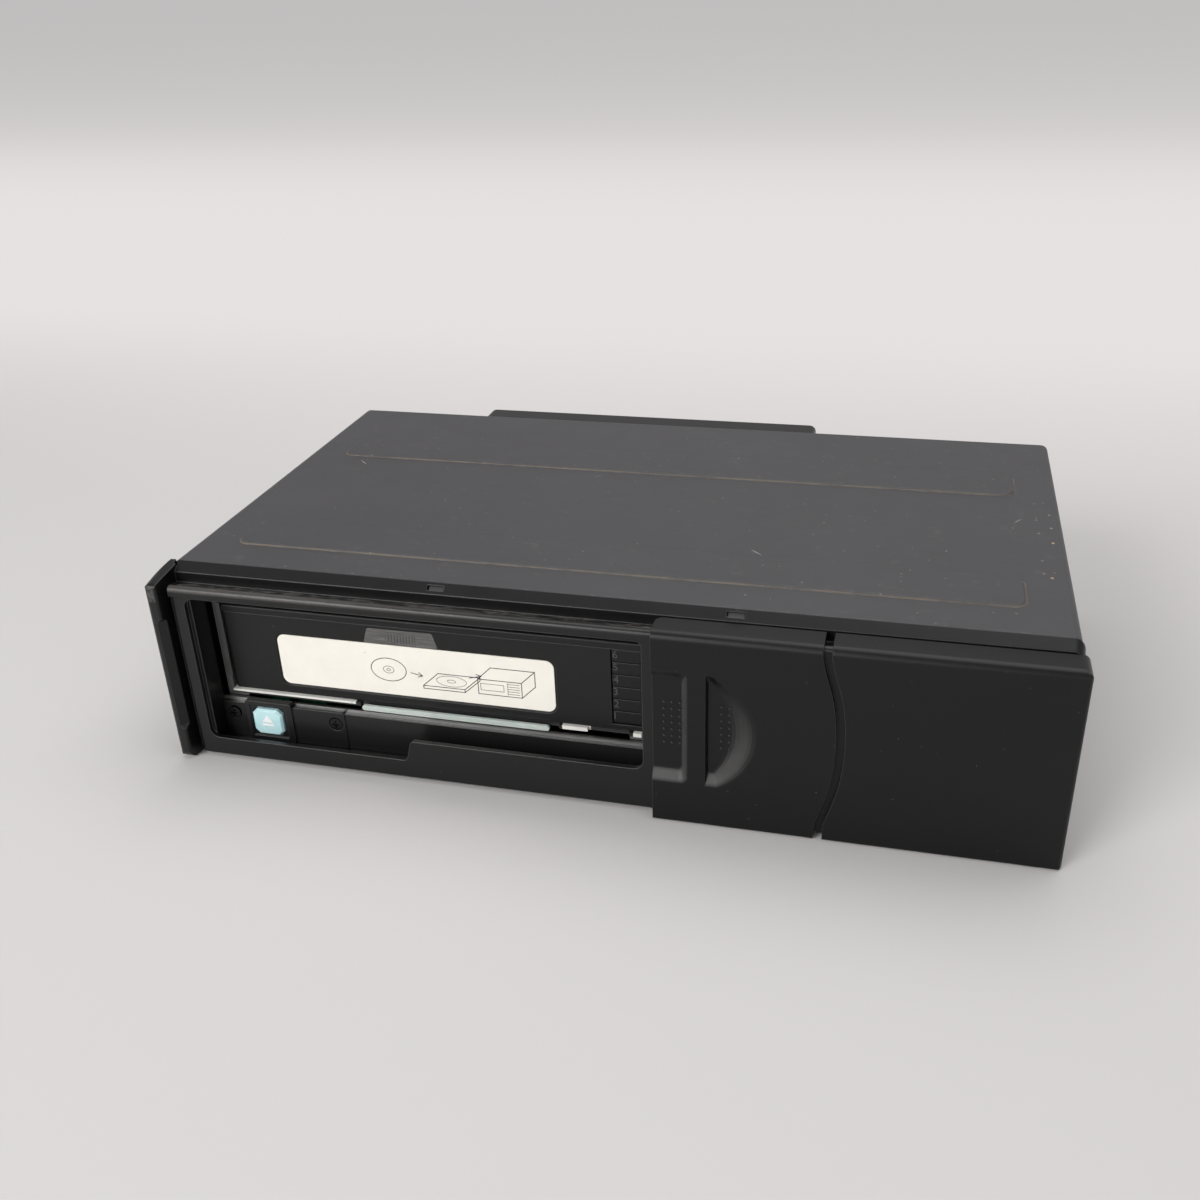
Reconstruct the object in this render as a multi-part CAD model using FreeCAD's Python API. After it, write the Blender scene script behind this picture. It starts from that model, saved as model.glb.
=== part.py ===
"""Car CD changer: a slim sheet-metal case with a moulded front, a telescoping sliding door,
a six-tray disc magazine in a bay on the left, and on the right a drive deck that rises to the
chosen disc while a clamp arm swings down onto it.

Millimetres.  Sizes are worked out from the front left corner of the front's outline
(+X right, +Y back, +Z up) and each node is stored about the middle of the footprint."""

import FreeCAD, Part
import math
import os

Vector = FreeCAD.Vector

# ---------------------------------------------------------------- driving dimensions
# Sheets and clearances
sheet = 0.8                # sheet metal of the case
chassis_sheet = 1.0
fit_gap = 0.3              # between neighbouring pieces of different bodies
lap_gap = 0.1              # between lapped pieces of one body
running_gap = 0.06         # radial clearance of a pin in its bore
chassis_gap = 3.0          # chassis to the case's inner faces
rib_height = 0.6           # pressed ribs on the top and the bottom of the case
damper_height = 3.0
damper_radius = 6.0

# Front covers
door_wall = 2.5
fascia_wall = 1.3
tail_wall = 0.9            # thin part of the door that runs under the fascia cover
cover_floor_gap = 0.3      # front covers above the resting plane
cover_drop = 2.7           # front covers' top below the case's top
cover_flange = 9.3         # depth of the covers' top flange
cover_flange_wall = 1.2
cover_foot = 5.0           # depth of the covers' bottom flange
cover_foot_wall = 1.0
cover_round = 2.2
fascia_overhang = 1.8      # fascia cover beyond the case's right side

# Moulded frame behind the covers
bezel_wall = 2.0
bezel_depth = 8.2
rail_depth = 2.8           # rounded rail that the door's hook runs behind
rail_drop = 3.3            # the rail's height
rail_bead = 0.5            # rail stands out from the frame's face
groove_drop = 1.6          # groove floor under the rail's top
groove_wall = 1.4          # wall between the groove and the case
collar_run = 3.1           # sloped collar from the groove's wall up to the case's top
collar_drop = 2.5
collar_proud = 0.8         # collar beyond the case's sides
rim_front = 3.9            # left rim's width at its front and at the collar
rim_back = 4.8
rim_taper = 2.6            # rim's outer face draws in by this towards the case
rim_side = 3.2             # case's left side, in from the rim's foremost outer corner
rim_gap = 1.1              # groove between the rim and the window's post
window_lap = 5.0           # window beyond the magazine, left and right
window_lap_right = 2.4
window_low_drop = 10.9     # lower lip beside the eject button, under the bay's floor
window_step_drop = 4.0     # higher lip on the right, under the bay's floor
window_step_reach = 48.2   # from the eject button to the step
window_step_run = 4.2
window_corner = 3.0

# Sliding door, shutter and seam
door_gap = 3.2             # open door beside the window
door_width = 45.0          # to the seam's straight ends
seam_bulge = 4.6           # how far the seam swings to the right
seam_gap = 2.3
shutter_wall = 1.0
shutter_closed_lap = 8.0   # how far the closed shutter and the door's tail lap
shutter_end_lap = 2.0      # closed shutter beyond the window
shutter_channel = 2.4      # width of the channel that guides the shutter
grip_depth = 1.8
grip_low = 12.9            # grips' lower ends above the covers' lower edge
grip_height = 37.0
edge_grip_width = 10.1
d_grip_inset = 14.8        # second grip from the door's left end
d_grip_width = 14.9

# Magazine
disc_recess_radius = 60.4
tray_rim = 1.0             # rim of a tray in front of and behind the disc
tray_side = 3.2            # rim of a tray left and right of the disc
tray_thickness = 3.0
tray_pitch = 4.05
tray_count = 6
tray_hole_radius = 19.0
tray_slot_width = 34.0     # cut-out above the pickup
magazine_wall = 1.8
magazine_front_wall = 2.0
magazine_lid_wall = 2.4
magazine_runner = 0.45     # thin runners between the trays
magazine_front = 14.0      # magazine's face, behind the front covers' face
number_window = 8.9        # width of the column of tray fronts
tab_lap = 0.38             # a tray's front tab reaches this far over and under the tray
side_clearance = 1.0       # magazine to each guide
label_width = 87.0
label_height = 17.0
label_round = 2.5
label_inset = 16.9         # from the magazine's left face
label_low = 3.3            # above the magazine's bottom
label_wall = 0.25
tab_inset = 28.6           # push tab from the label's left end
tab_width = 23.4
tab_height = 5.0

# Bay, board and head room
bay_height = 12.9          # chassis to the magazine's floor
bay_floor = 1.2
bay_back_gap = 11.3        # magazine to the case's inner back face
guide_wall = 2.0
guide_foot = 3.0
guide_foot_right = 0.8
guide_inset = 5.2          # case's inner face to the left guide's foot
guide_tail = 3.8           # guides beyond the magazine's back
roof_gap = 1.2             # magazine to the guides' upper shelves
board_standoff = 3.0
board_wall = 1.6
tallest_component = 4.6
head_room = 1.5

# Escutcheon, button and light bar
escutcheon_face = 11.0
escutcheon_wall = 1.2
escutcheon_drop = 2.3      # panel's top under the bay's floor
surround_drop = 0.5        # button surround's top under the bay's floor
surround_rise = 1.2
button_inset = 16.8        # eject button from the window's left edge
button_drop = 7.4          # its centre under the bay's floor
button_width = 10.0
button_height = 9.0
button_chamfer = 1.6
button_travel = 1.6
button_face = 9.0
button_stem = 3.0
screw_radius = 1.4
screw_head_radius = 2.0
screw_head = 1.1
screw_left_reach = 12.0    # escutcheon screws from the button, left and right
screw_right_reach = 22.4
screw_drop = 6.0           # below the bay's floor
light_inset = 43.0         # light bar from the magazine's left face
light_length = 59.0

# Drive section
deck_clearance = 3.6       # deck to the right guide's foot
deck_wall = 1.5
deck_reach_left = 32.7     # deck's left edge from the spindle
deck_front_reach = 27.7    # deck's front edge from the spindle
deck_back_gap = 3.5
spindle_gap = 0.75         # turntable under the lowest tray
lift_over = 1.5            # turntable above a tray when it has lifted the disc
motor_radius = 11.0
motor_height = 6.3
turntable_radius = 13.5
turntable_wall = 2.2
hub_radius = 7.4
hub_height = 1.6
spindle_radius = 1.0
rod_radius = 1.5
rod_spacing = 32.0
rod_bracket = 2.4
sled_depth = 19.0
sled_start = 23.0          # lens from the spindle when the sled is home
gear_module = 0.8
sled_gear_teeth = 16
lift_gear_teeth = 20
gear_wall = 2.2
gear_bore = 1.5
post_radius = 2.0
cam_wall = 1.6
cam_gap = 1.0              # fully drawn tray to the lift cam
cam_guide_wall = 3.0
deck_pin_radius = 1.5
lift_motor_radius = 7.5
lift_motor_length = 25.0

# Clamp
clamp_wall = 1.6
puck_radius = 13.0
puck_wall = 4.2
clamp_pivot_radius = 1.5
clamp_pivot_back = 5.5     # pivot in front of the back wall
clamp_half = 12.0          # half width of the arm's knuckle
ear_wall = 1.6

# Rear housing, sides
rear_depth = 16.7
rear_left = 49.5
rear_width = 128.0
rear_wall = 1.4
rear_low = 3.0
rear_drop = 3.0            # rear housing's top below the case's top
connector_inset = 29.5     # connector's middle from the rear housing's right end
connector_z = 22.0
connector_width = 30.0
connector_height = 14.0
connector_wall = 1.2
connector_depth = 11.0
pin_length = 4.0
mount_radius = 2.0
mount_spacing = 85.0
mount_front = 40.0
mount_height = 24.0
nut_size = 8.0
nut_wall = 3.0
dial_radius = 11.0
dial_flange = 2.0
dial_wall = 1.2
dial_y = 100.0
dial_z = 40.0

# ---------------------------------------------------------------- derived levels
bezel_front = door_wall + fit_gap
bezel_back = bezel_front + bezel_depth
groove_back = bezel_front + cover_flange - door_wall + lap_gap
case_front = groove_back + collar_run
case_left = rim_side
inner_left = case_left + sheet
floor_bottom = rib_height
floor_top = floor_bottom + sheet
chassis_bottom = floor_top + damper_height
chassis_top = chassis_bottom + chassis_sheet
bay_floor_low = chassis_top + bay_height
bay_floor_top = bay_floor_low + bay_floor
magazine_low = bay_floor_top + fit_gap
first_tray = magazine_low + magazine_wall + 0.5 * (tray_pitch - tray_thickness)
magazine_lid_low = first_tray + tray_count * tray_pitch - lap_gap
magazine_top = magazine_lid_low + magazine_lid_wall
roof_low = magazine_top + roof_gap + chassis_sheet
roof_top = roof_low + sheet
board_low = roof_top + board_standoff
board_top = board_low + board_wall
case_ceiling = board_top + tallest_component + head_room
case_top = case_ceiling + sheet
cover_top = case_top - cover_drop
rail_top = cover_top - cover_flange_wall - fit_gap
rail_low = rail_top - rail_drop
groove_floor = rail_top - groove_drop
frame_ceiling = groove_floor - groove_wall
bezel_low = cover_floor_gap + cover_foot_wall + fit_gap
frame_floor = bezel_low + bezel_wall

tray_length = 2 * (disc_recess_radius + tray_side)
tray_width = 2 * (disc_recess_radius + tray_rim)
guide_left_face = inner_left + guide_inset + guide_foot + guide_wall
magazine_left = guide_left_face + side_clearance
tray_left = magazine_left + magazine_wall + fit_gap
tray_right = tray_left + tray_length
magazine_right = tray_right + fit_gap
guide_right_face = magazine_right + side_clearance
tray_front = magazine_front + magazine_front_wall + fit_gap
tray_back = tray_front + tray_width
magazine_back = tray_back + fit_gap + magazine_wall
inner_back = magazine_back + bay_back_gap
case_back = inner_back + sheet
depth = case_back + rear_depth
disc_x = tray_left + 0.5 * tray_length
disc_y = tray_front + 0.5 * tray_width
deck_left = guide_right_face + guide_wall + guide_foot_right + deck_clearance
spindle_x = deck_left + deck_reach_left
spindle_y = disc_y
tray_travel = spindle_x - disc_x
cam_left = tray_right + tray_travel + cam_gap
chassis_right = cam_left + cam_wall + fit_gap + cam_guide_wall
inner_right = chassis_right + chassis_gap
case_right = inner_right + sheet
front_width = case_right + fascia_overhang
rear_right = rear_left + rear_width
rear_top = case_top - rear_drop

window_left = magazine_left - window_lap
window_right = magazine_right + window_lap_right
window_low = bay_floor_low - window_low_drop
window_step = bay_floor_low - window_step_drop
button_x = window_left + button_inset
button_z = bay_floor_low - button_drop
window_step_x = button_x + window_step_reach
escutcheon_top = bay_floor_low - escutcheon_drop
surround_top = bay_floor_low - surround_drop
door_left = window_right + door_gap
door_seam = door_left + door_width
tail_right = inner_right - fit_gap
door_travel = door_left - rim_back - fit_gap
shutter_ratio = 0.5
shutter_travel = shutter_ratio * door_travel
shutter_closed = tail_right - door_travel - shutter_closed_lap
shutter_width = window_right + shutter_end_lap - shutter_closed

turntable_top = first_tray - spindle_gap
deck_travel = (tray_count - 1) * tray_pitch + spindle_gap + lift_over


# ---------------------------------------------------------------- shape helpers
def box(x0, x1, y0, y1, z0, z1):
    """Block between two corners."""
    return Part.makeBox(x1 - x0, y1 - y0, z1 - z0, Vector(x0, y0, z0))


def rod(start, along, length, radius):
    """Cylinder from a start point along an axis."""
    return Part.makeCylinder(radius, length, Vector(*start), Vector(*along))


def in_plan(u, v):
    """Point of a plan outline (x, y)."""
    return Vector(u, v, 0)


def in_front(u, v):
    """Point of a front outline (x, z)."""
    return Vector(u, 0, v)


def in_side(u, v):
    """Point of a side outline (y, z)."""
    return Vector(0, u, v)


def outline(corners, place):
    """Closed wire through corners (u, v, radius), each rounded by a tangent arc."""
    edges = []
    joints = []
    count = len(corners)
    for index, (u, v, radius) in enumerate(corners):
        here = place(u, v)
        to_last = (place(*corners[index - 1][:2]) - here).normalize()
        to_next = (place(*corners[(index + 1) % count][:2]) - here).normalize()
        if radius == 0:
            joints.append((here, None, here))
            continue
        half = 0.5 * to_last.getAngle(to_next)
        middle = (to_last + to_next).normalize()
        reach = radius / math.tan(half)
        inmost = here + middle * (radius / math.sin(half) - radius)
        joints.append((here + to_last * reach, inmost, here + to_next * reach))
    for index, (start, inmost, end) in enumerate(joints):
        if inmost is not None:
            edges.append(Part.Arc(start, inmost, end).toShape())
        next_start = joints[(index + 1) % count][0]
        if end.distanceToPoint(next_start) > 1e-6:
            edges.append(Part.LineSegment(end, next_start).toShape())
    return Part.Wire(edges)


def prism(wire, start, height, along):
    """Solid from a wire, moved to a start along an axis and extruded along it."""
    solid = Part.Face(wire).extrude(Vector(*along) * height)
    solid.translate(Vector(*along) * start)
    return solid


UP = (0, 0, 1)
BACK = (0, 1, 0)
RIGHT = (1, 0, 0)


def plate(x0, x1, y0, y1, z0, z1, radius):
    """Flat plate with rounded corners in plan."""
    corners = [(x0, y0, radius), (x1, y0, radius), (x1, y1, radius), (x0, y1, radius)]
    return prism(outline(corners, in_plan), z0, z1 - z0, UP)


def panel(x0, x1, z0, z1, y0, y1, radius):
    """Upright plate that faces the front, with rounded corners."""
    corners = [(x0, z0, radius), (x1, z0, radius), (x1, z1, radius), (x0, z1, radius)]
    return prism(outline(corners, in_front), y0, y1 - y0, BACK)


def join(shapes):
    """One solid of several that touch."""
    first = shapes[0]
    return first.fuse(shapes[1:]).removeSplitter() if len(shapes) > 1 else first


def group(shapes):
    """Separate solids kept together as one node."""
    return Part.makeCompound(shapes)


def soften(solid, radius, chosen):
    """Round the edges for which chosen(edge box) holds."""
    return solid.makeFillet(radius, [edge for edge in solid.Edges if chosen(edge.BoundBox)])


def bevel(solid, width, chosen):
    """Chamfer the edges for which chosen(edge box) holds."""
    return solid.makeChamfer(width, [edge for edge in solid.Edges if chosen(edge.BoundBox)])


def gear(x, y, z, teeth, wall, bore):
    """Spur gear with stub teeth, a gap facing +X at rest."""
    pitch_radius = 0.5 * gear_module * teeth
    root = pitch_radius - 0.9 * gear_module
    tip = pitch_radius + 0.7 * gear_module
    step = 2 * math.pi / teeth
    tooth_shape = ((-0.33, root), (-0.12, tip), (0.12, tip), (0.33, root))
    corners = []
    for tooth in range(teeth):
        for turn, reach in tooth_shape:
            angle = (tooth + 0.5 + turn) * step
            corners.append((x + reach * math.cos(angle), y + reach * math.sin(angle), 0))
    blank = prism(outline(corners, in_plan), z, wall, UP)
    return blank.cut(rod((x, y, z), UP, wall, bore))


def rack(pitch_x, body_x, y0, tooth_count, z, wall):
    """Rack along Y with teeth towards -X; a tooth stands at y0 and at each pitch after it."""
    pitch = math.pi * gear_module
    root = pitch_x + 0.9 * gear_module
    tip = pitch_x - 0.7 * gear_module
    tooth_shape = ((-0.33, root), (-0.12, tip), (0.12, tip), (0.33, root))
    corners = [(body_x, y0 - 0.5 * pitch, 0), (root, y0 - 0.5 * pitch, 0)]
    for tooth in range(tooth_count):
        corners += [(reach, y0 + (tooth + shift) * pitch, 0) for shift, reach in tooth_shape]
    end = y0 + (tooth_count - 0.5) * pitch
    corners += [(root, end, 0), (body_x, end, 0)]
    return prism(outline(corners, in_plan), z, wall, UP)


# ---------------------------------------------------------------- case
rib_front = 13.6           # front rib behind the hood's front edge
rib_width = 18.0
rib_spacing = 76.3
rib_side = 12.9            # rib ends, in from the case's sides
rib_round = 4.0
rib_slope = 0.5
case_corner = 2.4
cover_skirt = 1.4          # top cover's lower edge above the resting plane
back_lip_height = 8.4      # the top cover's lip down the back wall
flange_height = 13.4       # floor pan's side flanges
snap_windows = (86.6, 171.4)
snap_width = 5.0
snap_height = 1.6
snap_up = 0.3              # window's lower edge, as a share of the collar's slope
cover_screw_drop = 4.4     # side screws under the flange's upper edge
cover_screw_front = 17.2   # screws from the hood's front and back edges
cover_screw_back = 21.3
screw_seat = 0.02          # play of a screw's shank in its hole
back_seam = case_top - back_lip_height
collar_angle = math.atan2(collar_drop, collar_run)


def rib_pads(low, high, inset):
    """The two pressed ribs as rounded pads."""
    pads = []
    for row in range(2):
        y = case_front + rib_front + row * rib_spacing
        pads.append(plate(case_left + rib_side + inset, case_right - rib_side - inset, y + inset,
                          y + rib_width - inset, low, high, rib_round))
    return pads


def hood(inset, reach, low):
    """The top cover's outer form, or its inner one at an inset, with rounded top and back."""
    left = case_left + inset
    right = case_right - inset
    back = case_back - inset
    top = case_top - inset

    def rounded_edge(bounds):
        at_side = bounds.XMax < left + 0.01 or bounds.XMin > right - 0.01
        on_top = bounds.ZMin > top - 0.01
        at_back = bounds.YMin > back - 0.01
        return (at_side and (on_top or at_back)) or (on_top and at_back)

    return soften(box(left, right, case_front - reach, back, low, top), case_corner - inset, rounded_edge)


def snap_block(x, inset, inner, outer, length):
    """Block square to the collar's slope, between two depths below its outer face."""
    half = 0.5 * snap_width - inset
    block = Part.makeBox(2 * half, length, outer - inner, Vector(-half, inset, inner))
    block.rotate(Vector(), Vector(1, 0, 0), math.degrees(collar_angle))
    block.translate(Vector(x, groove_back + snap_up * collar_run, case_top - (1 - snap_up) * collar_drop))
    return block


def snap_tongue(x, grow):
    """Tongue of the top cover's front edge that snaps into the collar's window."""
    return snap_block(x, 2 * lap_gap - grow, -2 * sheet - grow, -sheet + grow, collar_run + 4 * grow)


def side_screws(with_head):
    """Screws (or their holes) that join the case's two halves at the sides."""
    shapes = []
    radius = screw_radius + (0 if with_head else screw_seat)
    z = flange_height - cover_screw_drop
    for y in (case_front + cover_screw_front, case_back - cover_screw_back):
        for x, way in ((case_left, 1), (case_right, -1)):
            axis = (way, 0, 0)
            if with_head:
                head = rod((x, y, z), (-way, 0, 0), screw_head, screw_head_radius)
                shapes.append(rod((x, y, z), axis, 3 * sheet, radius).fuse(head))
            else:
                shapes.append(rod((x - way * sheet, y, z), axis, 5 * sheet, radius))
    return shapes


def mount_points():
    """Centres of the side bracket holes."""
    return [(x, way, y) for x, way in ((case_left, 1), (case_right, -1))
            for y in (mount_front, mount_front + mount_spacing)]


def top_cover():
    """Sheet-metal hood with ribs, two front tongues, side holes and a short back lip."""
    shell = hood(0, 0, cover_skirt)
    pads = [bevel(pad, rib_slope, lambda b: b.ZMin > case_top + 0.01)
            for pad in rib_pads(case_top - sheet, case_top + rib_height, 0)]
    shell = shell.fuse(pads).cut(hood(sheet, 2 * sheet, cover_skirt - 1))
    shell = shell.cut(rib_pads(case_top - 2 * sheet, case_top - sheet + rib_height, sheet))
    shell = shell.cut(box(inner_left, inner_right, inner_back - case_corner + sheet, case_back + sheet,
                          0, back_seam))
    shell = shell.fuse([snap_tongue(x, 0) for x in snap_windows])
    cutters = side_screws(False)
    for x, way, y in mount_points():
        cutters.append(rod((x - way, y, mount_height), (way, 0, 0), 3 * sheet, mount_radius))
    for x, way in ((case_left, 1), (case_right, -1)):
        cutters.append(rod((x - way, dial_y, dial_z), (way, 0, 0), 3 * sheet, dial_radius + fit_gap))
    return shell.cut(cutters).removeSplitter()


def bottom_cover():
    """Floor pan with pressed ribs, side flanges inside the hood and the back wall."""
    x0 = inner_left + lap_gap
    x1 = inner_right - lap_gap
    front = bezel_back + fit_gap
    pan = soften(box(x0, x1, front, case_back, floor_bottom, flange_height), sheet,
                 lambda b: b.YLength > flange_height and b.ZMax < floor_top)
    pan = pan.cut(box(x0 + sheet, x1 - sheet, front - 1, inner_back, floor_top, flange_height + 1))
    wall = box(x0, x1, inner_back, case_back, floor_bottom, back_seam - fit_gap)
    pan = pan.fuse([wall] + [bevel(pad, rib_slope, lambda b: b.ZMax < 0.01)
                             for pad in rib_pads(0, floor_top, 0)])
    pan = pan.cut(rib_pads(floor_top - rib_height, floor_top, sheet))
    return pan.cut(side_screws(False) + [cable_window()]).removeSplitter()


cable_margin = 32.0        # harness window from the rear housing's ends
cable_low = 17.0           # and from its lower and upper faces
cable_top = 20.0


def cable_window():
    """Opening in the back wall where the harness passes into the rear housing."""
    return panel(rear_left + cable_margin, rear_right - cable_margin, rear_low + cable_low,
                 rear_top - cable_top, inner_back - 1, case_back + 1, case_corner)


def mount_nuts():
    """Weld nuts behind the side bracket holes."""
    nuts = []
    half = 0.5 * nut_size
    for x, way, y in mount_points():
        face = x + way * sheet
        x0, x1 = sorted((face, face + way * nut_wall))
        nut = box(x0, x1, y - half, y + half, mount_height - half, mount_height + half)
        nuts.append(nut.cut(rod((x0, y, mount_height), RIGHT, nut_wall, mount_radius)))
    return nuts


dial_slot = 14.0
dial_slot_width = 2.0
dial_slot_depth = 0.6


def tilt_dial(x, way):
    """Coin-slot dial in the case's side, held by a flange inside."""
    face = x + way * (sheet + fit_gap + dial_wall)
    dial = rod((face, dial_y, dial_z), (-way, 0, 0), dial_wall + sheet + 2 * fit_gap, dial_radius)
    half = dial_radius + dial_flange
    flange_x = sorted((face, face - way * dial_wall))
    corners = [(dial_y + half * math.cos(turn), dial_z + half * math.sin(turn), 0)
               for turn in (math.radians(30 * step + 15) for step in range(12))]
    flange = prism(outline(corners, in_side), flange_x[0], dial_wall, RIGHT)
    slot_x = sorted((x - way * 2, x + way * dial_slot_depth))
    half_slot = 0.5 * dial_slot
    half_width = 0.5 * dial_slot_width
    slot = box(slot_x[0], slot_x[1], dial_y - half_slot, dial_y + half_slot, dial_z - half_width,
               dial_z + half_width)
    arrow = [(dial_y + half_slot + 0.3 * half_width, dial_z, 0),
             (dial_radius + dial_y - 1.4, dial_z - half_width, 0),
             (dial_radius + dial_y - 1.4, dial_z + half_width, 0)]
    mark = prism(outline(arrow, in_side), slot_x[0], slot_x[1] - slot_x[0], RIGHT)
    return dial.fuse(flange).cut([slot, mark])


def rear_housing():
    """Moulded box behind the case, open to the harness window, with the connector's opening."""
    back = case_back + rear_depth
    shell = box(rear_left, rear_right, case_back, back, rear_low, rear_top)
    shell = soften(shell, case_corner, lambda b: b.YMin > case_back + 0.01 or b.YLength > rear_wall)
    hollow = box(rear_left + rear_wall, rear_right - rear_wall, case_back - 1, back - rear_wall,
                 rear_low + rear_wall, rear_top - rear_wall)
    return shell.cut([hollow, connector_body(fit_gap)])


connector_x = rear_right - connector_inset
socket_floor = 1.5
socket_collar = 3.0
pin_width = 0.8
pin_pitch = 3.4
pin_row = 2.6
pins_per_row = 7


def connector_panel(grow, y0, y1):
    """Plate with the connector's outline, grown by a size, between two distances from the back."""
    back = case_back + rear_depth
    half_x = 0.5 * connector_width + grow
    half_z = 0.5 * connector_height + grow
    return panel(connector_x - half_x, connector_x + half_x, connector_z - half_z, connector_z + half_z,
                 back + y0, back + y1, 0.5 * connector_wall)


def connector_body(grow):
    """Outer form of the rear connector."""
    return connector_panel(grow, grow - connector_depth, grow)


def rear_connector():
    """Shrouded multi-pin socket with a keyway."""
    back = case_back + rear_depth
    well = connector_panel(-connector_wall, socket_floor - connector_depth, 1)
    collar = connector_panel(socket_collar, -rear_wall - connector_wall, -rear_wall)
    half_z = 0.5 * connector_height - connector_wall
    key = box(connector_x - 2 * pin_width, connector_x + 2 * pin_width, back - 0.5 * connector_depth,
              back + 1, connector_z + half_z - 1, connector_z + half_z + 0.5 * connector_wall)
    return connector_body(0).fuse(collar).cut([well, key])


def connector_pins():
    """Two rows of pins in the socket's floor."""
    floor = case_back + rear_depth - connector_depth + socket_floor
    half = 0.5 * pin_width
    pins = []
    for z in (connector_z - pin_row, connector_z + pin_row):
        for index in range(pins_per_row):
            x = connector_x + (index - 0.5 * (pins_per_row - 1)) * pin_pitch
            pins.append(box(x - half, x + half, floor, floor + pin_length, z - half, z + half))
    return pins


# ---------------------------------------------------------------- front
seam_foot = 4.7            # seam's straight ends, from the covers' lower and upper edges
seam_head = 2.5
cover_edge = 0.4           # small rounding of the covers' edges
hook_wall = 1.0
grip_round = 2.4
grip_side = 2.0            # width of the edge grip's right wall
grip_end = 4.5             # width of both grips' lower and upper walls
d_grip_left = 0.8          # width of the second grip's left wall and of its long right wall
d_grip_side = 9.0
grip_steps = 8
face_skim = 0.02           # cutters start this far ahead of the face


def seam_edge(shift):
    """The S-curved seam between door and fascia, from low to high, moved right by shift."""
    straight = door_seam + shift
    low = cover_floor_gap + seam_foot
    high = cover_top - seam_head
    rise = high - low
    points = [(straight, low), (straight + 0.70 * seam_bulge, low + 0.227 * rise),
              (straight + seam_bulge, low + 0.491 * rise), (straight + 0.62 * seam_bulge, low + 0.793 * rise),
              (straight, high)]
    curve = Part.BSplineCurve()
    curve.interpolate(Points=[in_front(x, z) for x, z in points],
                      InitialTangent=Vector(0.25, 0, 1), FinalTangent=Vector(-0.15, 0, 1))
    return curve.toShape(), points[0], points[-1]


def seam_prism(x_far, shift):
    """Everything between a far side and the seam, as deep as the front covers."""
    curve, low, high = seam_edge(shift)
    z0 = cover_floor_gap - 1
    z1 = cover_top + 1
    corners = [in_front(low[0], low[1]), in_front(low[0], z0), in_front(x_far, z0),
               in_front(x_far, z1), in_front(high[0], z1), in_front(high[0], high[1])]
    edges = [curve]
    for start, end in zip(corners[:-1], corners[1:]):
        edges.append(Part.LineSegment(start, end).toShape())
    wire = Part.Wire(Part.sortEdges(edges)[0])
    return prism(wire, -1, cover_flange + 2, BACK)


def cover_channel(x0, x1, wall, hooked):
    """Channel-shaped front cover: face, rounded top flange, foot and the hook behind the rail."""
    top = cover_top
    under = top - cover_flange_wall
    foot = cover_floor_gap + cover_foot_wall
    corners = [(0, cover_floor_gap, 0.7 * cover_foot_wall), (0, top, cover_round),
               (cover_flange, top, cover_edge), (cover_flange, under, 0)]
    if hooked:
        hook_front = bezel_front + rail_depth + fit_gap
        hook_low = groove_floor + fit_gap
        corners += [(hook_front + hook_wall, under, 0), (hook_front + hook_wall, hook_low, 0),
                    (hook_front, hook_low, 0), (hook_front, under, 0)]
    corners += [(wall, under, 0), (wall, foot, 0), (cover_foot, foot, 0), (cover_foot, cover_floor_gap, 0)]
    return prism(outline(corners, in_side), x0, x1 - x0, RIGHT)


def dish(mouth, floor):
    """Finger recess with a soft wall from one outline in the face to another at its floor."""
    sections = []
    for step in range(grip_steps + 1):
        share = step / grip_steps
        depth_in = 0.5 * grip_depth * (1 - math.cos(math.pi * share)) - face_skim * (1 - share)
        points = [(a + (c - a) * share, b + (d - b) * share) for (a, b), (c, d) in zip(mouth, floor)]
        sections.append([Vector(u, depth_in, v) for u, v in points])
    return sections


def scoop(mouth, floor, wire_of):
    """Solid through the dish's sections, each closed by wire_of(points)."""
    return Part.makeLoft([wire_of(points) for points in dish(mouth, floor)], True, True)


def edge_wire(points):
    """Grip outline open to the door's left end: straight sides with rounded right corners."""
    start, low, low_turn, low_end, high_end, high_turn, high, stop = points
    return Part.Wire([Part.LineSegment(start, low).toShape(), Part.Arc(low, low_turn, low_end).toShape(),
                      Part.LineSegment(low_end, high_end).toShape(),
                      Part.Arc(high_end, high_turn, high).toShape(),
                      Part.LineSegment(high, stop).toShape(), Part.LineSegment(stop, start).toShape()])


def d_wire(points):
    """D outline: straight left side, bulging right side."""
    start, tip, apex, shoulder, stop = points
    return Part.Wire([Part.LineSegment(start, tip).toShape(), Part.Arc(tip, apex, shoulder).toShape(),
                      Part.LineSegment(shoulder, stop).toShape(), Part.LineSegment(stop, start).toShape()])


def edge_points(right, low, high, radius):
    """Points of the edge grip's outline."""
    left = door_left - 1
    turn = radius * (1 - math.sqrt(0.5))
    return [(left, low), (right - radius, low), (right - turn, low + turn), (right, low + radius),
            (right, high - radius), (right - turn, high - turn), (right - radius, high), (left, high)]


def d_points(left, low, high, reach, flat):
    """Points of the D grip's outline."""
    return [(left, low), (left + 2 * flat, low), (reach, 0.5 * (low + high) + flat), (left + flat, high),
            (left, high)]


def finger_grips():
    """The door's two finger recesses: one open to its left end, one D-shaped."""
    low = cover_floor_gap + grip_low
    high = low + grip_height
    right = door_left + edge_grip_width
    floor = edge_points(right - grip_side, low + grip_end, high - grip_end, 0.5 * grip_round)
    edge = scoop(edge_points(right, low, high, grip_round), floor, edge_wire)
    left = door_left + d_grip_inset
    reach = left + d_grip_width
    d_shape = scoop(d_points(left, low, high, reach, 0.7 * grip_round),
                    d_points(left + d_grip_left, low + grip_end, high - grip_end, reach - d_grip_side,
                             0.3 * grip_round), d_wire)
    return [edge, d_shape]


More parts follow.
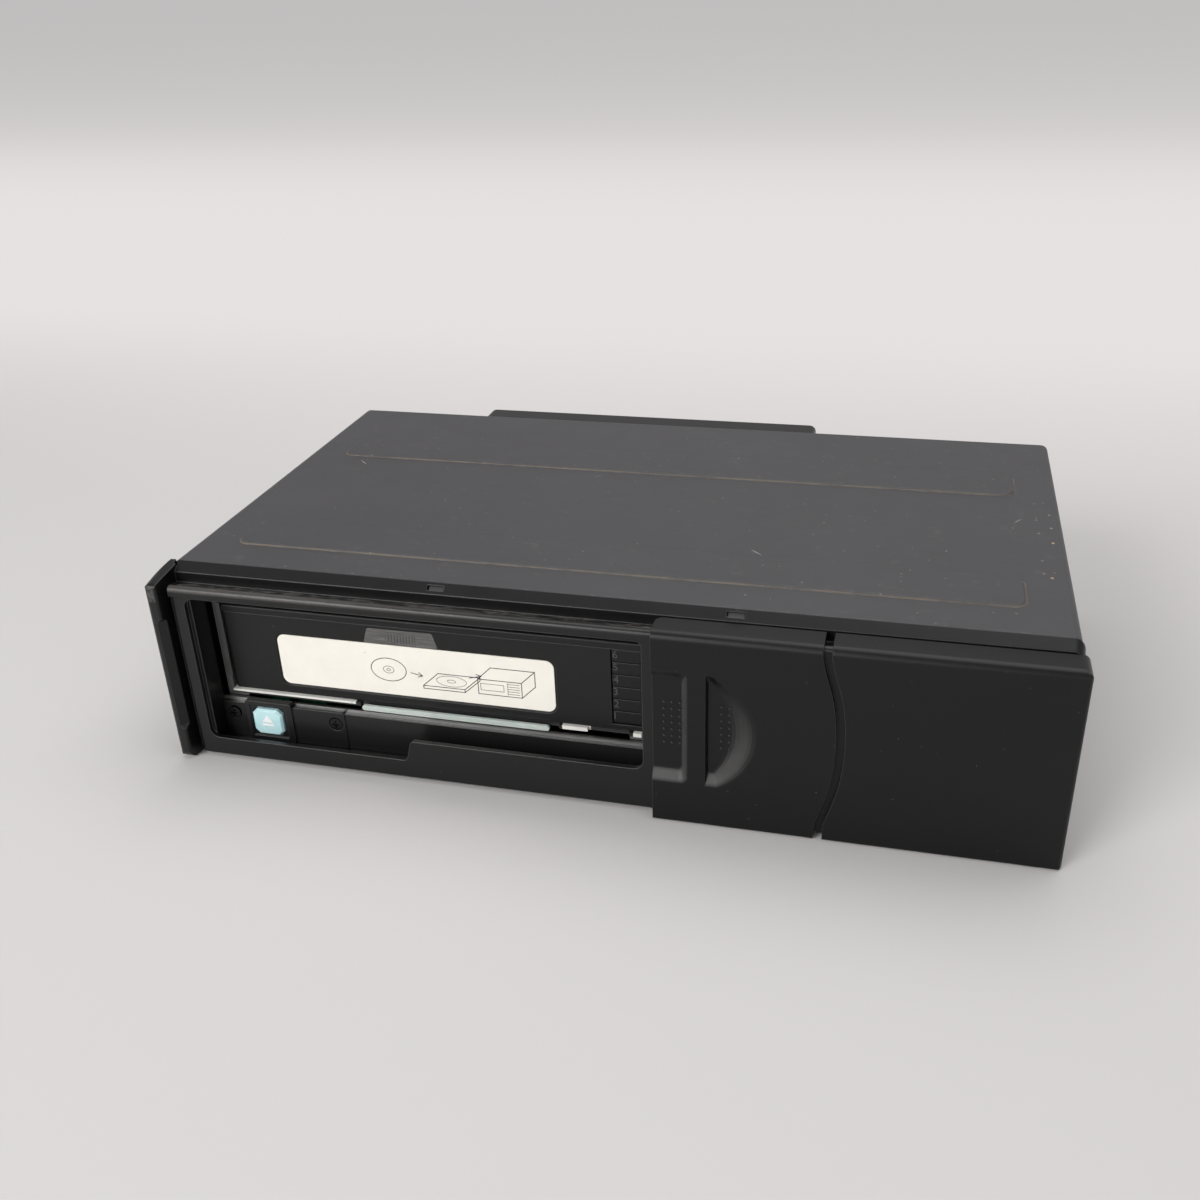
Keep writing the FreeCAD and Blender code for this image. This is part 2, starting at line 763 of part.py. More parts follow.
def sliding_door():
    """Outer door: channel with S-curved edge, two finger grips and a thin tail."""
    door = cover_channel(door_left, door_seam + seam_bulge + 1, door_wall, True)
    door = door.common(seam_prism(door_left - 1, 0))
    notch_round = rail_depth
    back_corner = rod((door_left + notch_round, cover_flange - notch_round,
                       cover_top - 2 * cover_flange_wall), UP,
                      4 * cover_flange_wall, notch_round)
    notch = box(door_left - 1, door_left + notch_round, cover_flange - notch_round, cover_flange + 1,
                cover_top - cover_flange_wall, cover_top + 1).cut(back_corner)
    tail = box(door_seam - seam_bulge, tail_right, door_wall - tail_wall, door_wall, bezel_low, rail_top)
    edge_grip, d_grip = finger_grips()
    return door.cut(notch).fuse(tail).removeSplitter().cut(edge_grip).cut(d_grip)


fascia_leg = 6.0           # width of the clip legs in the dust groove
fascia_leg_wall = 1.4
fascia_leg_left = 14.0     # left leg from the seam, right leg from the case's inner side
fascia_leg_right = 10.0


def fascia_cover():
    """Fixed right part of the front, with an end wall and clip legs in the dust groove."""
    x0 = door_seam
    cover = cover_channel(x0, front_width, fascia_wall, False)
    end = box(front_width - fascia_wall, front_width, 0.5 * fascia_wall, cover_flange, cover_floor_gap,
              cover_top - lap_gap)
    silhouette = outline([(x0 - 1, cover_floor_gap, 0), (front_width, cover_floor_gap, fascia_wall),
                          (front_width, cover_top, cover_round), (x0 - 1, cover_top, 0)], in_front)
    cover = cover.fuse(end).common(prism(silhouette, -1, cover_flange + 2, BACK))
    cover = cover.common(seam_prism(front_width + 1, seam_gap))
    corner = fascia_wall
    round_edge = rod((front_width - corner, corner, -1), UP, cover_top + 2, corner)
    trim = box(front_width - corner, front_width + 1, -1, corner, -1, cover_top + 1).cut(round_edge)
    cover = cover.cut(trim)
    leg_front = bezel_front + rail_depth + 2 * fit_gap
    legs = [box(x, x + fascia_leg, leg_front, leg_front + fascia_leg_wall, groove_floor,
                cover_top - cover_flange_wall)
            for x in (door_seam + fascia_leg_left, inner_right - fascia_leg_right)]
    return cover.fuse(legs).removeSplitter()


def window_outline():
    """Magazine window with its stepped lower lip."""
    corner = window_corner
    half = 0.5 * corner
    return outline([(window_left, window_low, corner), (window_step_x, window_low, half),
                    (window_step_x + 0.4 * window_step_run, window_step, half),
                    (window_right, window_step, corner), (window_right, rail_low - fit_gap, half),
                    (window_left, rail_low - fit_gap, corner)], in_front)


rim_round = 3.0            # rim's lower front corner
rim_edge = 1.6             # rounding of the rim's outer edges
rim_corner = 2.0           # rounding of its left corners, seen from the front
rim_top_drop = 2.7         # rim's top at its front, under the case's top
facet_low = 12.0           # long flat on the rim's inner front edge, above the covers' lower edge
facet_height = 36.0
facet_width = 1.7
facet_depth = 2.0


def rim_facet():
    """Wedge that takes the long flat off the rim's inner front edge, with sloped ends."""
    low = cover_floor_gap + facet_low
    high = low + facet_height
    reach = 2 * facet_width
    corners = [(-reach, low - reach, 0), (0, low, 0), (0, high, 0), (-reach, high + reach, 0)]
    wedge = prism(outline(corners, in_side), -2 * reach, 3 * reach, RIGHT)
    wedge.rotate(Vector(), Vector(*UP), math.degrees(math.atan2(facet_depth, facet_width)))
    wedge.translate(Vector(rim_front - facet_width, 0, 0))
    return wedge


def left_rim():
    """Left end of the front: tapers to the case, with rounded corners and a long flat on its inner edge."""
    low = cover_floor_gap
    front_top = case_top - rim_top_drop
    width = rim_back + 1
    side = outline([(0, low, rim_round), (0, front_top, rim_edge), (case_front, case_top, 0),
                    (case_front, low, 0)], in_side)
    lead = rim_edge * ((math.hypot(rim_taper, case_front) + rim_taper) / case_front - 1)
    plan = outline([(-lead, 0, rim_edge), (rim_front, 0, 0.5 * rim_edge), (rim_back, groove_back, 0),
                    (rim_back, bezel_back, 0), (inner_left, bezel_back, 0), (inner_left, case_front, 0),
                    (rim_taper - lead, case_front, 0)], in_plan)
    rim = prism(side, -1, width + 1, RIGHT).common(prism(plan, 0, case_top + 1, UP))
    ends = []
    for edge, other, rise in ((front_top, low - case_front, rim_top_drop / case_front),
                              (low, case_top + case_front, 0)):
        face = outline([(0, edge, rim_corner), (0, other, 0), (width, other, 0), (width, edge, 0)], in_front)
        ends.append(Part.Face(face).extrude(Vector(0, 1, rise) * case_front))
    return rim.common(ends[0]).common(ends[1]).cut(rim_facet())


def collar():
    """Sloped band from the dust groove up to the case's top, down the right side, with its tongue."""
    left = rim_back
    right = case_right + collar_proud
    wall_back = groove_back + groove_wall
    under = case_top - sheet - lap_gap
    section = outline([(groove_back, frame_ceiling, 0), (groove_back, case_top - collar_drop, 0),
                       (case_front, case_top, 0), (case_front, under, 0),
                       (case_front + groove_wall, under, 0),
                       (case_front + groove_wall, under - groove_wall, 0),
                       (wall_back, under - groove_wall, 0),
                       (wall_back, frame_ceiling, 0)], in_side)
    band = prism(section, left, right - left, RIGHT)
    behind = (case_front, case_front + 2 * groove_wall, 0, case_top)
    band = band.cut([box(left - 1, inner_left + case_corner, *behind),
                     box(inner_right - case_corner, right + 1, *behind)])
    corner = outline([(groove_back, frame_ceiling, 0), (groove_back, case_top - collar_drop, 0),
                      (case_front, case_top, 0), (case_front, frame_ceiling, 0)], in_side)
    end = prism(corner, inner_right - case_corner, right - inner_right + case_corner, RIGHT)
    inner = box(inner_right - 2 * lap_gap - groove_wall, right, groove_back, bezel_back, bezel_low,
                case_top - 2 * collar_drop)
    side = box(inner_right, right, groove_back, case_front, bezel_low, case_top - 2 * collar_drop)
    whole = join([band, end, inner, side])
    whole = soften(whole, case_corner + collar_proud, lambda b: b.XMin > right - 0.01 and b.YLength > 1
                   and b.ZMin > case_top - collar_drop - 0.01)
    windows = [snap_block(x, 0, -2 * sheet - lap_gap, sheet, snap_height) for x in snap_windows]
    return whole.cut(windows + [snap_tongue(x, lap_gap) for x in snap_windows])


channel_floor = 3.0        # depth of the groove beside the left rim, behind the frame's face
lining_step = 1.2          # bay's lining inside the window's left edge
lining_wall = 1.4
rail_round = 1.3
rib_inset = 5.0            # shutter's guide ribs start this far inside the closed shutter


def front_bezel():
    """Moulded frame: rail, dust groove, collar, lip, left rim, lining walls and channel ribs."""
    right = inner_right - 2 * lap_gap
    left = rim_back + rim_gap
    face = bezel_front + rail_bead
    frame = box(left, right, face, bezel_back, bezel_low, rail_top)
    frame = frame.fuse(box(left, right, bezel_front, face, rail_low, rail_top)).removeSplitter()
    groove = box(left - 1, right + 1, bezel_front + rail_depth, groove_back, groove_floor, rail_top + 1)
    frame = soften(frame.cut(groove), rail_round, lambda b: b.XLength > window_left
                   and b.ZMin > rail_top - 0.01 and b.YMax < groove_back - 0.01)
    frame = soften(frame, 0.8 * rail_bead, lambda b: b.XLength > window_left and b.ZMax < rail_low + 0.01
                   and b.YMax < bezel_front + 0.01)
    frame = soften(frame, rail_round, lambda b: b.ZLength > window_left and b.XMax < left + 0.01
                   and b.YMax < face + 0.01)
    hollow = box(left + 2 * bezel_wall, right - bezel_wall, bezel_front + bezel_wall, bezel_back + 1,
                 frame_floor, frame_ceiling)
    window = prism(window_outline(), bezel_front - 1, bezel_wall + 2, BACK)
    web = box(rim_front, left + 1, bezel_front + channel_floor, bezel_back, bezel_low, groove_floor)
    wall_back = escutcheon_face + escutcheon_wall - fit_gap
    channel_back = bezel_front + bezel_wall + shutter_channel
    seated = (frame_floor - lap_gap, frame_ceiling + lap_gap)
    lining_left = box(left + 1, window_left + lining_step, bezel_front + bezel_wall, wall_back, *seated)
    lining_right = box(window_right + fit_gap, window_right + fit_gap + lining_wall, channel_back,
                       wall_back, *seated)
    ribs = [box(shutter_closed + rib_inset, right - lining_wall, channel_back,
                channel_back + 0.5 * lining_wall, z0, z1)
            for z0, z1 in ((frame_ceiling - lining_wall, frame_ceiling + lap_gap),
                           (frame_floor - lap_gap, frame_floor + lining_wall))]
    return join([frame.cut([hollow, window]), web, lining_left, lining_right, left_rim(), collar()] + ribs)


shutter_grooves = 6
shutter_groove = 2.0
shutter_groove_pitch = 6.0


def door_shutter():
    """Second stage of the door, behind the bezel's front wall."""
    x0 = shutter_closed + shutter_travel
    y0 = bezel_front + bezel_wall + 0.5 * (shutter_channel - shutter_wall)
    floor = frame_floor + fit_gap
    ceiling = frame_ceiling - fit_gap
    leaf = box(x0, x0 + shutter_width, y0, y0 + shutter_wall, floor, ceiling)
    grooves = [box(x, x + shutter_groove, y0 - 1, y0 + 0.25 * shutter_wall, floor + shutter_groove_pitch,
                   ceiling - shutter_groove_pitch)
               for x in (x0 + shutter_groove_pitch * (index + 0.7) for index in range(shutter_grooves))]
    return leaf.cut(grooves)


surround_left = 7.2        # button surround, left and right of the button's middle
surround_right = 8.2
screw_step_right = 25.5    # raised part around the right screw ends here
screw_step_rise = 0.5
surround_recess = 1.1      # recess around the button
panel_round = 0.6


def slot_escutcheon():
    """Panel under the magazine slot: raised button surround and two recessed screw seats."""
    x0 = window_left + lining_step + lap_gap
    low = frame_floor + lap_gap
    face = escutcheon_face
    back = face + escutcheon_wall
    raised = face - surround_rise
    body = box(x0, window_right - lap_gap, face, back, low, escutcheon_top)
    block = panel(button_x - surround_left, button_x + surround_right, low, surround_top, raised, back,
                  panel_round)
    step = panel(button_x + surround_right, button_x + screw_step_right, low,
                 escutcheon_top + screw_step_rise, face - screw_step_rise, back, panel_round)
    half_x = 0.5 * button_width + surround_recess
    half_z = 0.5 * button_height + surround_recess
    cutters = [button_prism(fit_gap, raised - 1, back + 1),
               panel(button_x - half_x, button_x + half_x, button_z - half_z, button_z + half_z, raised - 1,
                     raised + screw_step_rise, panel_round)]
    for x, z in screw_places():
        seat = face + 0.5 * escutcheon_wall
        cutters.append(rod((x, raised, z), BACK, seat - raised, screw_head_radius + fit_gap))
        cutters.append(rod((x, raised, z), BACK, back + 1 - raised, screw_radius + screw_seat))
    return body.fuse([block, step]).cut(cutters).removeSplitter()


def screw_places():
    """Centres of the escutcheon's screws."""
    z = bay_floor_low - screw_drop
    return ((button_x - screw_left_reach, z), (button_x + screw_right_reach, z))


screw_cross = 0.5          # cross recess of a screw's head: slot width and half length
screw_cross_reach = 1.2


def escutcheon_screws():
    """Two cross-head screws through the escutcheon into the chassis flange."""
    screws = []
    half = 0.5 * screw_cross
    seat = escutcheon_face + 0.5 * escutcheon_wall
    for x, z in screw_places():
        head = rod((x, seat - screw_head, z), BACK, screw_head, screw_head_radius)
        shank = rod((x, seat, z), BACK, 0.5 * escutcheon_wall + chassis_sheet + screw_cross, screw_radius)
        arms = [box(x - u, x + u, seat - 2 * screw_head, seat - 0.5 * screw_head, z - v, z + v)
                for u, v in ((screw_cross_reach, half), (half, screw_cross_reach))]
        screws.append(head.fuse(shank).cut(arms))
    return screws


def button_prism(grow, y0, y1):
    """Octagonal outline of the eject button, grown by a gap."""
    half_x = 0.5 * button_width + grow
    half_z = 0.5 * button_height + grow
    c = button_chamfer
    corners = [(-half_x + c, -half_z), (half_x - c, -half_z), (half_x, -half_z + c), (half_x, half_z - c),
               (half_x - c, half_z), (-half_x + c, half_z), (-half_x, half_z - c), (-half_x, -half_z + c)]
    wire = outline([(button_x + u, button_z + v, 0) for u, v in corners], in_front)
    return prism(wire, y0, y1 - y0, BACK)


button_edge = 0.6
button_lip = 1.0           # flange behind the escutcheon: how far it reaches out, and its wall
switch_size = 6.0
switch_depth = 3.5
button_board_left = 9.0
button_board_right = 14.0


def eject_button():
    """Translucent cap with a flange behind the escutcheon and a stem for the switch."""
    seat = escutcheon_face + escutcheon_wall + fit_gap
    cap = bevel(button_prism(0, button_face, seat), button_edge, lambda b: b.YMax < button_face + 0.01)
    half_x = 0.5 * button_width + button_lip
    half_z = 0.5 * button_height + button_lip
    flange = box(button_x - half_x, button_x + half_x, seat, seat + button_lip, button_z - half_z,
                 button_z + half_z)
    stem = rod((button_x, seat + button_lip, button_z), BACK, button_stem, screw_radius)
    return join([cap, flange, stem])


def button_board():
    """Small board on the chassis with the switch that the stem presses."""
    tip = escutcheon_face + escutcheon_wall + fit_gap + button_lip + button_stem
    face = tip + button_travel + fit_gap
    back = face + switch_depth
    half = 0.5 * switch_size
    switch = box(button_x - half, button_x + half, face, back, button_z - half, button_z + half)
    board = box(button_x - button_board_left, button_x + button_board_right, back, back + board_wall,
                chassis_top, button_z + 0.8 * switch_size)
    return join([board, switch])


floor_front_gap = 0.9      # bay floor's front edge ahead of the magazine's face
light_wall = 0.9
light_drop = 0.8           # light bar's lower edge under the bay's floor
tongue_depth = 1.3
tongue_gap = 0.8           # white tongues from the light bar's ends
tongue_places = ((2.8, 11.4), (23.8, 27.4))   # right tongues, from the light bar's right end
floor_tail = 2.0
floor_runners = 5
runner_pitch = 25.0


def light_ends():
    """The light bar's left and right ends."""
    left = magazine_left + light_inset
    return left, left + light_length


def light_bar():
    """Pale translucent strip under the magazine's front edge, with rounded ends."""
    left, right = light_ends()
    front = magazine_front - floor_front_gap - light_wall
    low = bay_floor_low - light_drop
    high = bay_floor_top - fit_gap
    return panel(left, right, low, high, front, front + light_wall, 0.45 * (high - low))


def magazine_floor():
    """Floor of the bay; its front tongues show left of, and right of, the light bar."""
    x0 = guide_left_face + fit_gap
    x1 = guide_right_face - fit_gap
    front = magazine_front - floor_front_gap
    left, right = light_ends()
    floor = box(x0, x1, front + light_wall + fit_gap, magazine_back + floor_tail, bay_floor_low,
                bay_floor_top)
    tongues = [box(a, b, front, front + tongue_depth, bay_floor_low, bay_floor_top)
               for a, b in [(x0, left - tongue_gap)] + [(right + u, right + v) for u, v in tongue_places]]
    runners = [box(x, x + guide_wall, front + switch_size, magazine_back - switch_size, bay_floor_low - 1.0,
                   bay_floor_low)
               for x in (x0 + runner_pitch * (index + 0.4) for index in range(floor_runners))]
    return join([floor] + tongues + runners)


# ---------------------------------------------------------------- magazine bay
guide_shelf = 4.8          # lower shelf under the bay's floor
guide_upper_shelf = 2.8
finger_slot = 24.0         # slot for the spring finger in the left guide
finger_low = 4.0           # above the magazine's bottom
finger_height = 6.0
finger_wall = 0.5
spring_width = 1.5         # upright spring strip beside the magazine's left front edge
spring_low = 4.1           # above the magazine's bottom, and its height
spring_height = 25.5


def guide(face, way, foot_out):
    """Side guide of the bay: wall, foot, the shelf under the floor and the upper shelf."""
    outer = face + way * guide_wall

    def bar(near, far, z0, z1):
        x0, x1 = sorted((near, far))
        return box(x0, x1, magazine_front, magazine_back + guide_tail, z0, z1)
    wall = bar(face, outer, chassis_top, roof_low)
    foot = bar(outer, outer + way * foot_out, chassis_top, chassis_top + bay_floor)
    shelf = bar(face, face - way * guide_shelf, bay_floor_low - bay_floor - fit_gap, bay_floor_low)
    upper = bar(face, face - way * guide_upper_shelf, roof_low - chassis_sheet, roof_low)
    return wall, [foot, shelf, upper]


def magazine_guide_left():
    """Left guide with a spring finger's slot in its wall."""
    wall, others = guide(guide_left_face, -1, guide_foot)
    low = magazine_low + finger_low
    slot = box(guide_left_face - guide_wall - 1, guide_left_face + 1, disc_y - 0.5 * finger_slot,
               disc_y + 0.5 * finger_slot, low, low + finger_height)
    return join([wall.cut(slot)] + others)


def magazine_guide_right():
    """Right guide, open where the trays pass into the drive section."""
    wall, others = guide(guide_right_face, 1, guide_foot_right)
    gate = box(guide_right_face - 1, guide_right_face + guide_wall + 1, magazine_front - 1,
               tray_back + side_clearance,
               magazine_low + 0.5 * magazine_wall, magazine_top - fit_gap)
    return join([wall.cut(gate)] + others)


def magazine_detent():
    """Spring finger in the left guide's slot, and the spring strip on the guide's front edge."""
    x = guide_left_face - guide_wall
    low = magazine_low + finger_low + finger_wall
    high = low + finger_height - 2 * finger_wall
    reach = 0.5 * finger_slot + 4 * guide_wall
    base = box(x - finger_wall, x, disc_y - reach, disc_y + reach, low, high)
    bump_radius = guide_wall + side_clearance - fit_gap
    bump = rod((x - finger_wall, disc_y, low), UP, high - low, bump_radius + finger_wall)
    bump = bump.common(box(x, x + 2 * guide_wall, disc_y - reach, disc_y + reach, low, high))
    strip_right = magazine_left - fit_gap
    strip = box(strip_right - spring_width, strip_right, magazine_front - finger_wall, magazine_front,
                magazine_low + spring_low, magazine_low + spring_low + spring_height)
    return [base.fuse(bump).removeSplitter(), strip]


roof_slot = 90.0           # slots that save weight in the bay's roof
roof_slot_width = 8.0
roof_slot_pitch = 30.0


def magazine_roof():
    """Sheet over the bay, screwed to both guides, with slots that save weight."""
    sheet_metal = box(guide_left_face - guide_wall, guide_right_face + guide_wall, magazine_front,
                      magazine_back + guide_tail, roof_low, roof_top)
    half = 0.5 * roof_slot
    side = 0.5 * roof_slot_width
    return sheet_metal.cut([box(disc_x - half, disc_x + half, y - side, y + side, roof_low - 1, roof_top + 1)
                            for y in (disc_y - roof_slot_pitch, disc_y, disc_y + roof_slot_pitch)])


board_inset = 6.0          # board's front edge and its posts
post_inset = 6.0
board_post_radius = 2.4


def main_board():
    """Circuit board above the bay on four standoffs."""
    front = magazine_front + board_inset
    board = box(guide_left_face, guide_right_face, front, magazine_back, board_low, board_top)
    posts = [rod((x, y, roof_top), UP, board_standoff, board_post_radius)
             for x in (guide_left_face + post_inset, guide_right_face - post_inset)
             for y in (front + post_inset, magazine_back - post_inset)]
    return join([board] + posts)


chip_wall = 1.6
chips = ((-30.0, -20.0, 20.0), (10.0, -10.0, 14.0), (35.0, 25.0, 10.0), (-25.0, 28.0, 12.0))   # x, y, size
can_radius = 3.1
can_places = ((-10.0, 40.0), (0.0, 40.0), (10.0, 40.0))
socket_place = (20.0, -50.0)
socket_length = 24.0
socket_width = 5.0


def board_components():
    """Chips, capacitors and the flat-cable socket on the main board, placed from the disc's middle."""
    shapes = []
    for dx, dy, size in chips:
        x = disc_x + dx - 0.5 * size
        y = disc_y + dy - 0.5 * size
        shapes.append(box(x, x + size, y, y + size, board_top, board_top + chip_wall))
    shapes += [rod((disc_x + dx, disc_y + dy, board_top), UP, tallest_component, can_radius)
               for dx, dy in can_places]
    x = disc_x + socket_place[0]
    y = disc_y + socket_place[1]
    shapes.append(box(x, x + socket_length, y, y + socket_width, board_top,
                      board_top + 0.7 * tallest_component))
    return shapes


# ---------------------------------------------------------------- magazine
magazine_edge = 0.8        # rounding of the magazine's front edges
tray_hook = 3.0
tray_front_step = 0.5      # tray tabs behind the magazine's face
label_ledge = 0.6          # shallow recess around the label
tab_play = 0.1
tab_taper_left = 1.6
tab_taper_right = 1.4
tab_wall = 0.6
arrow_length = 30.0
arrow_width = 18.0
arrow_depth = 0.5


def number_cells():
    """Column in the magazine's face where the tray fronts show."""
    last = first_tray + (tray_count - 1) * tray_pitch + tray_thickness
    return box(magazine_right - number_window, magazine_right + 1, magazine_front - 1, tray_front,
               first_tray - tab_lap - fit_gap, last + tab_lap + fit_gap)


def label_panel(grow, y0, y1):
    """Label's outline, grown by a gap."""
    x0 = magazine_left + label_inset
    z0 = magazine_low + label_low
    return panel(x0 - grow, x0 + label_width + grow, z0 - grow, z0 + label_height + grow, y0, y1,
                 label_round + grow)


def push_tab(grow, y0, y1):
    """Trapezoid tab above the label."""
    x0 = magazine_left + label_inset + tab_inset
    x1 = x0 + tab_width
    low = magazine_low + label_low + label_height + fit_gap
    high = low + tab_height
    corners = [(x0 - grow, low - grow, 0.8 * tab_wall), (x1 + grow, low - grow, 0.8 * tab_wall),
               (x1 - tab_taper_right + grow, high + grow, tab_wall),
               (x0 + tab_taper_left - grow, high + grow, tab_wall)]
    return prism(outline(corners, in_front), y0, y1 - y0, BACK)


def magazine_case():
    """Magazine without its lid: floor, three walls and the runners between the trays."""
    front = magazine_front
    shell = box(magazine_left, magazine_right, front, magazine_back, magazine_low, magazine_lid_low)
    shell = soften(shell, magazine_edge,
                   lambda b: b.ZLength > magazine_wall and b.XMax < magazine_left + 0.01)
    hollow = box(magazine_left + magazine_wall, magazine_right + 1, front + magazine_front_wall,
                 magazine_back - magazine_wall, magazine_low + magazine_wall, magazine_lid_low + 1)
    shell = shell.cut([hollow, number_cells(),
                       label_panel(label_ledge, front - 1, front + label_wall + tab_play),
                       push_tab(tab_play, front - 1, front + tab_wall - tab_play)])
    runners = []
    lap = fit_gap + lap_gap
    for tray in range(1, tray_count):
        z = first_tray + tray * tray_pitch - 0.5 * (tray_pitch - tray_thickness) - 0.5 * magazine_runner
        for y0, y1 in ((tray_front - lap, tray_front + tray_rim - fit_gap),
                       (tray_back - tray_rim + fit_gap, tray_back + lap)):
            runners.append(box(tray_left, magazine_right - number_window - 1, y0, y1, z, z + magazine_runner))
    groove = box(magazine_left - 1, magazine_left + label_ledge, front + 10 * magazine_edge,
                 magazine_back + 1,
                 magazine_low + finger_low + 1, magazine_low + finger_low + finger_height - 1)
    return shell.fuse(runners).cut(groove).removeSplitter()


def magazine_lid():
    """Top of the magazine with a rounded front edge and a direction arrow pressed in."""
    lid = box(magazine_left, magazine_right, magazine_front, magazine_back, magazine_lid_low, magazine_top)
    lid = soften(lid, magazine_edge,
                 lambda b: b.ZMin > magazine_top - 0.01 and b.YMax < magazine_front + 0.01)
    tip = magazine_back - arrow_length
    half = 0.5 * arrow_width
    stem = half / 3
    arrow = outline([(disc_x, tip, 0), (disc_x + half, tip - 0.4 * arrow_length, 0),
                     (disc_x + stem, tip - 0.4 * arrow_length, 0), (disc_x + stem, tip - arrow_length, 0),
                     (disc_x - stem, tip - arrow_length, 0), (disc_x - stem, tip - 0.4 * arrow_length, 0),
                     (disc_x - half, tip - 0.4 * arrow_length, 0)], in_plan)
    notch = push_tab(tab_play, magazine_front - 1, magazine_front + tab_wall - tab_play)
    return lid.cut([prism(arrow, magazine_top - arrow_depth, 1, UP), notch])


recess_floor = 1.3         # tray's wall under the disc
slot_reach = 57.0          # pickup slot, from the disc's middle to the back


def disc_tray(level):
    """One disc tray: recess, spindle hole, pickup slot, hook notch and its numbered front tab."""
    z = first_tray + level * tray_pitch
    top = z + tray_thickness
    through = (z - 1, top + 1)
    body = box(tray_left, tray_right, tray_front, tray_back, z, top)
    tab = box(magazine_right - number_window + fit_gap, tray_right, magazine_front + tray_front_step,
              tray_front + 2 * fit_gap, z - tab_lap, top + tab_lap)
    recess = rod((disc_x, disc_y, z + recess_floor), UP, tray_thickness, disc_recess_radius)
    hole = rod((disc_x, disc_y, z - 1), UP, tray_thickness + 2, tray_hole_radius)
    half = 0.5 * tray_slot_width
    slot = box(disc_x - half, disc_x + half, disc_y, disc_y + slot_reach, *through)
    hook = box(tray_right - 2 * tray_hook, tray_right - tray_hook, tray_back - 4 * tray_hook,
               tray_back - tray_hook,
               *through)
    return body.fuse(tab).cut([recess, hole, slot, hook]).removeSplitter()


# ---------------------------------------------------------------- drive section
deck_cam_gap = 2.3         # deck's side flange to the lift cam
hub_clearance = 3.6        # turntable above the deck's plate
rod_drop = 2.3             # guide rods' axes under the deck
pin_rise = 3.6             # lift pins above the deck's lower face
pin_first = 6.0            # front lift pin from the deck's front edge
pin_spacing = 54.0
post_inset_y = 5.0         # lift posts from the deck's back and side edges
post_inset_x = 6.0
rack_lug = 4.0             # sled's rack beyond the guide rod
sled_gear_back = 32.3      # sled's pinion behind the spindle
cam_rise = 0.4             # cam and its gear above the chassis
lift_rack_gap = 1.2        # cam's pitch line to its plate
lift_gear_back = 10.0      # lift gear behind the deck's front edge
cam_overhang = 20.0        # cam ahead of the deck's front edge

deck_right = cam_left - deck_cam_gap
deck_front = spindle_y - deck_front_reach
deck_back = inner_back - deck_back_gap
deck_low = turntable_top - hub_height - turntable_wall - hub_clearance - deck_wall
deck_top = deck_low + deck_wall
rod_z = deck_low - rod_drop
pin_z = deck_low + pin_rise
pin_rows = (deck_front + pin_first, deck_front + pin_first + pin_spacing)
post_y = deck_back - post_inset_y
post_rows = (deck_left + post_inset_x, deck_right - post_inset_x)
rack_x = spindle_x - 0.5 * rod_spacing - rack_lug
sled_gear_x = rack_x - 0.5 * gear_module * sled_gear_teeth
sled_gear_y = spindle_y + sled_gear_back
sled_y = spindle_y + sled_start - 0.5 * sled_depth
cam_low = chassis_top + cam_rise
lift_rack_x = cam_left - lift_rack_gap
lift_gear_x = lift_rack_x - 0.5 * gear_module * lift_gear_teeth
lift_gear_y = deck_front + lift_gear_back
cam_front = deck_front - cam_overhang
tooth_pitch = math.pi * gear_module


chassis_slot_margin = 12.0     # weight-saving slots from the guides and the deck's left edge
chassis_slot_width = 18.0
chassis_slot_pitch = 28.0
deck_slot_length = 52.0
cam_guide_height = 6.0


def mechanism_chassis():
    """Pressed tray that carries the bay and the drive, with a front flange and a cam guide."""
    x0 = inner_left + guide_inset - chassis_sheet
    y0 = escutcheon_face + escutcheon_wall
    y1 = inner_back - chassis_gap
    floor = box(x0, chassis_right, y0, y1, chassis_bottom, chassis_top)
    flange = box(x0, guide_right_face, y0, y0 + chassis_sheet, chassis_top, bay_floor_low - bay_floor)
    cam_guide = box(chassis_right - cam_guide_wall, chassis_right, cam_front, y1, chassis_top,
                    chassis_top + cam_guide_height)
    half = 0.5 * chassis_slot_width
    rows = [disc_y + row * chassis_slot_pitch for row in (-1, 0, 1)]
    openings = [box(guide_left_face + chassis_slot_margin, guide_right_face - chassis_slot_margin,
                    y - half, y + half, chassis_bottom - 1, chassis_top + 1) for y in rows]
    deck_slot = deck_left + chassis_slot_margin
    openings += [box(deck_slot, deck_slot + deck_slot_length, y - half, y + half, chassis_bottom - 1,
                     chassis_top + 1)
                 for y in rows[1:]]
    side = 0.5 * button_width + 2 * button_lip
    rise = 0.5 * button_height + 2 * button_lip
    flange_room = button_lip + button_travel + 2 * fit_gap
    button_gap = box(button_x - side, button_x + side + 1, y0 - 1, y0 + flange_room, button_z - rise,
                     button_z + rise)
    screw_holes = [rod((x, y0 - 1, z), BACK, 3, screw_radius + screw_seat) for x, z in screw_places()]
    return join([floor.cut(openings), flange, cam_guide]).cut([button_gap] + screw_holes)


damper_inset = 13.0
damper_front = 24.0
damper_left_of_spindle = 28.0


def rubber_dampers():
    """Waisted rubber feet between the floor pan and the chassis."""
    third = damper_height / 3
    waist = damper_radius - third
    feet = []
    for x in (inner_left + damper_inset, spindle_x - damper_left_of_spindle, inner_right - damper_inset):
        for y in (damper_front, inner_back - damper_inset):
            side = outline([(0, 0, 0), (damper_radius, 0, 0), (waist, 1.5 * third, 0),
                            (damper_radius, damper_height, 0),
                            (0, damper_height, 0)], in_front)
            foot = Part.Face(side).revolve(Vector(), Vector(*UP), 360)
            foot.translate(Vector(x, y, floor_top))
            feet.append(foot)
    return feet


def lift_posts():
    """Two posts behind the trays' path on which the deck rises."""
    return [rod((x, post_y, chassis_top), UP, roof_top - chassis_top, post_radius) for x in post_rows]


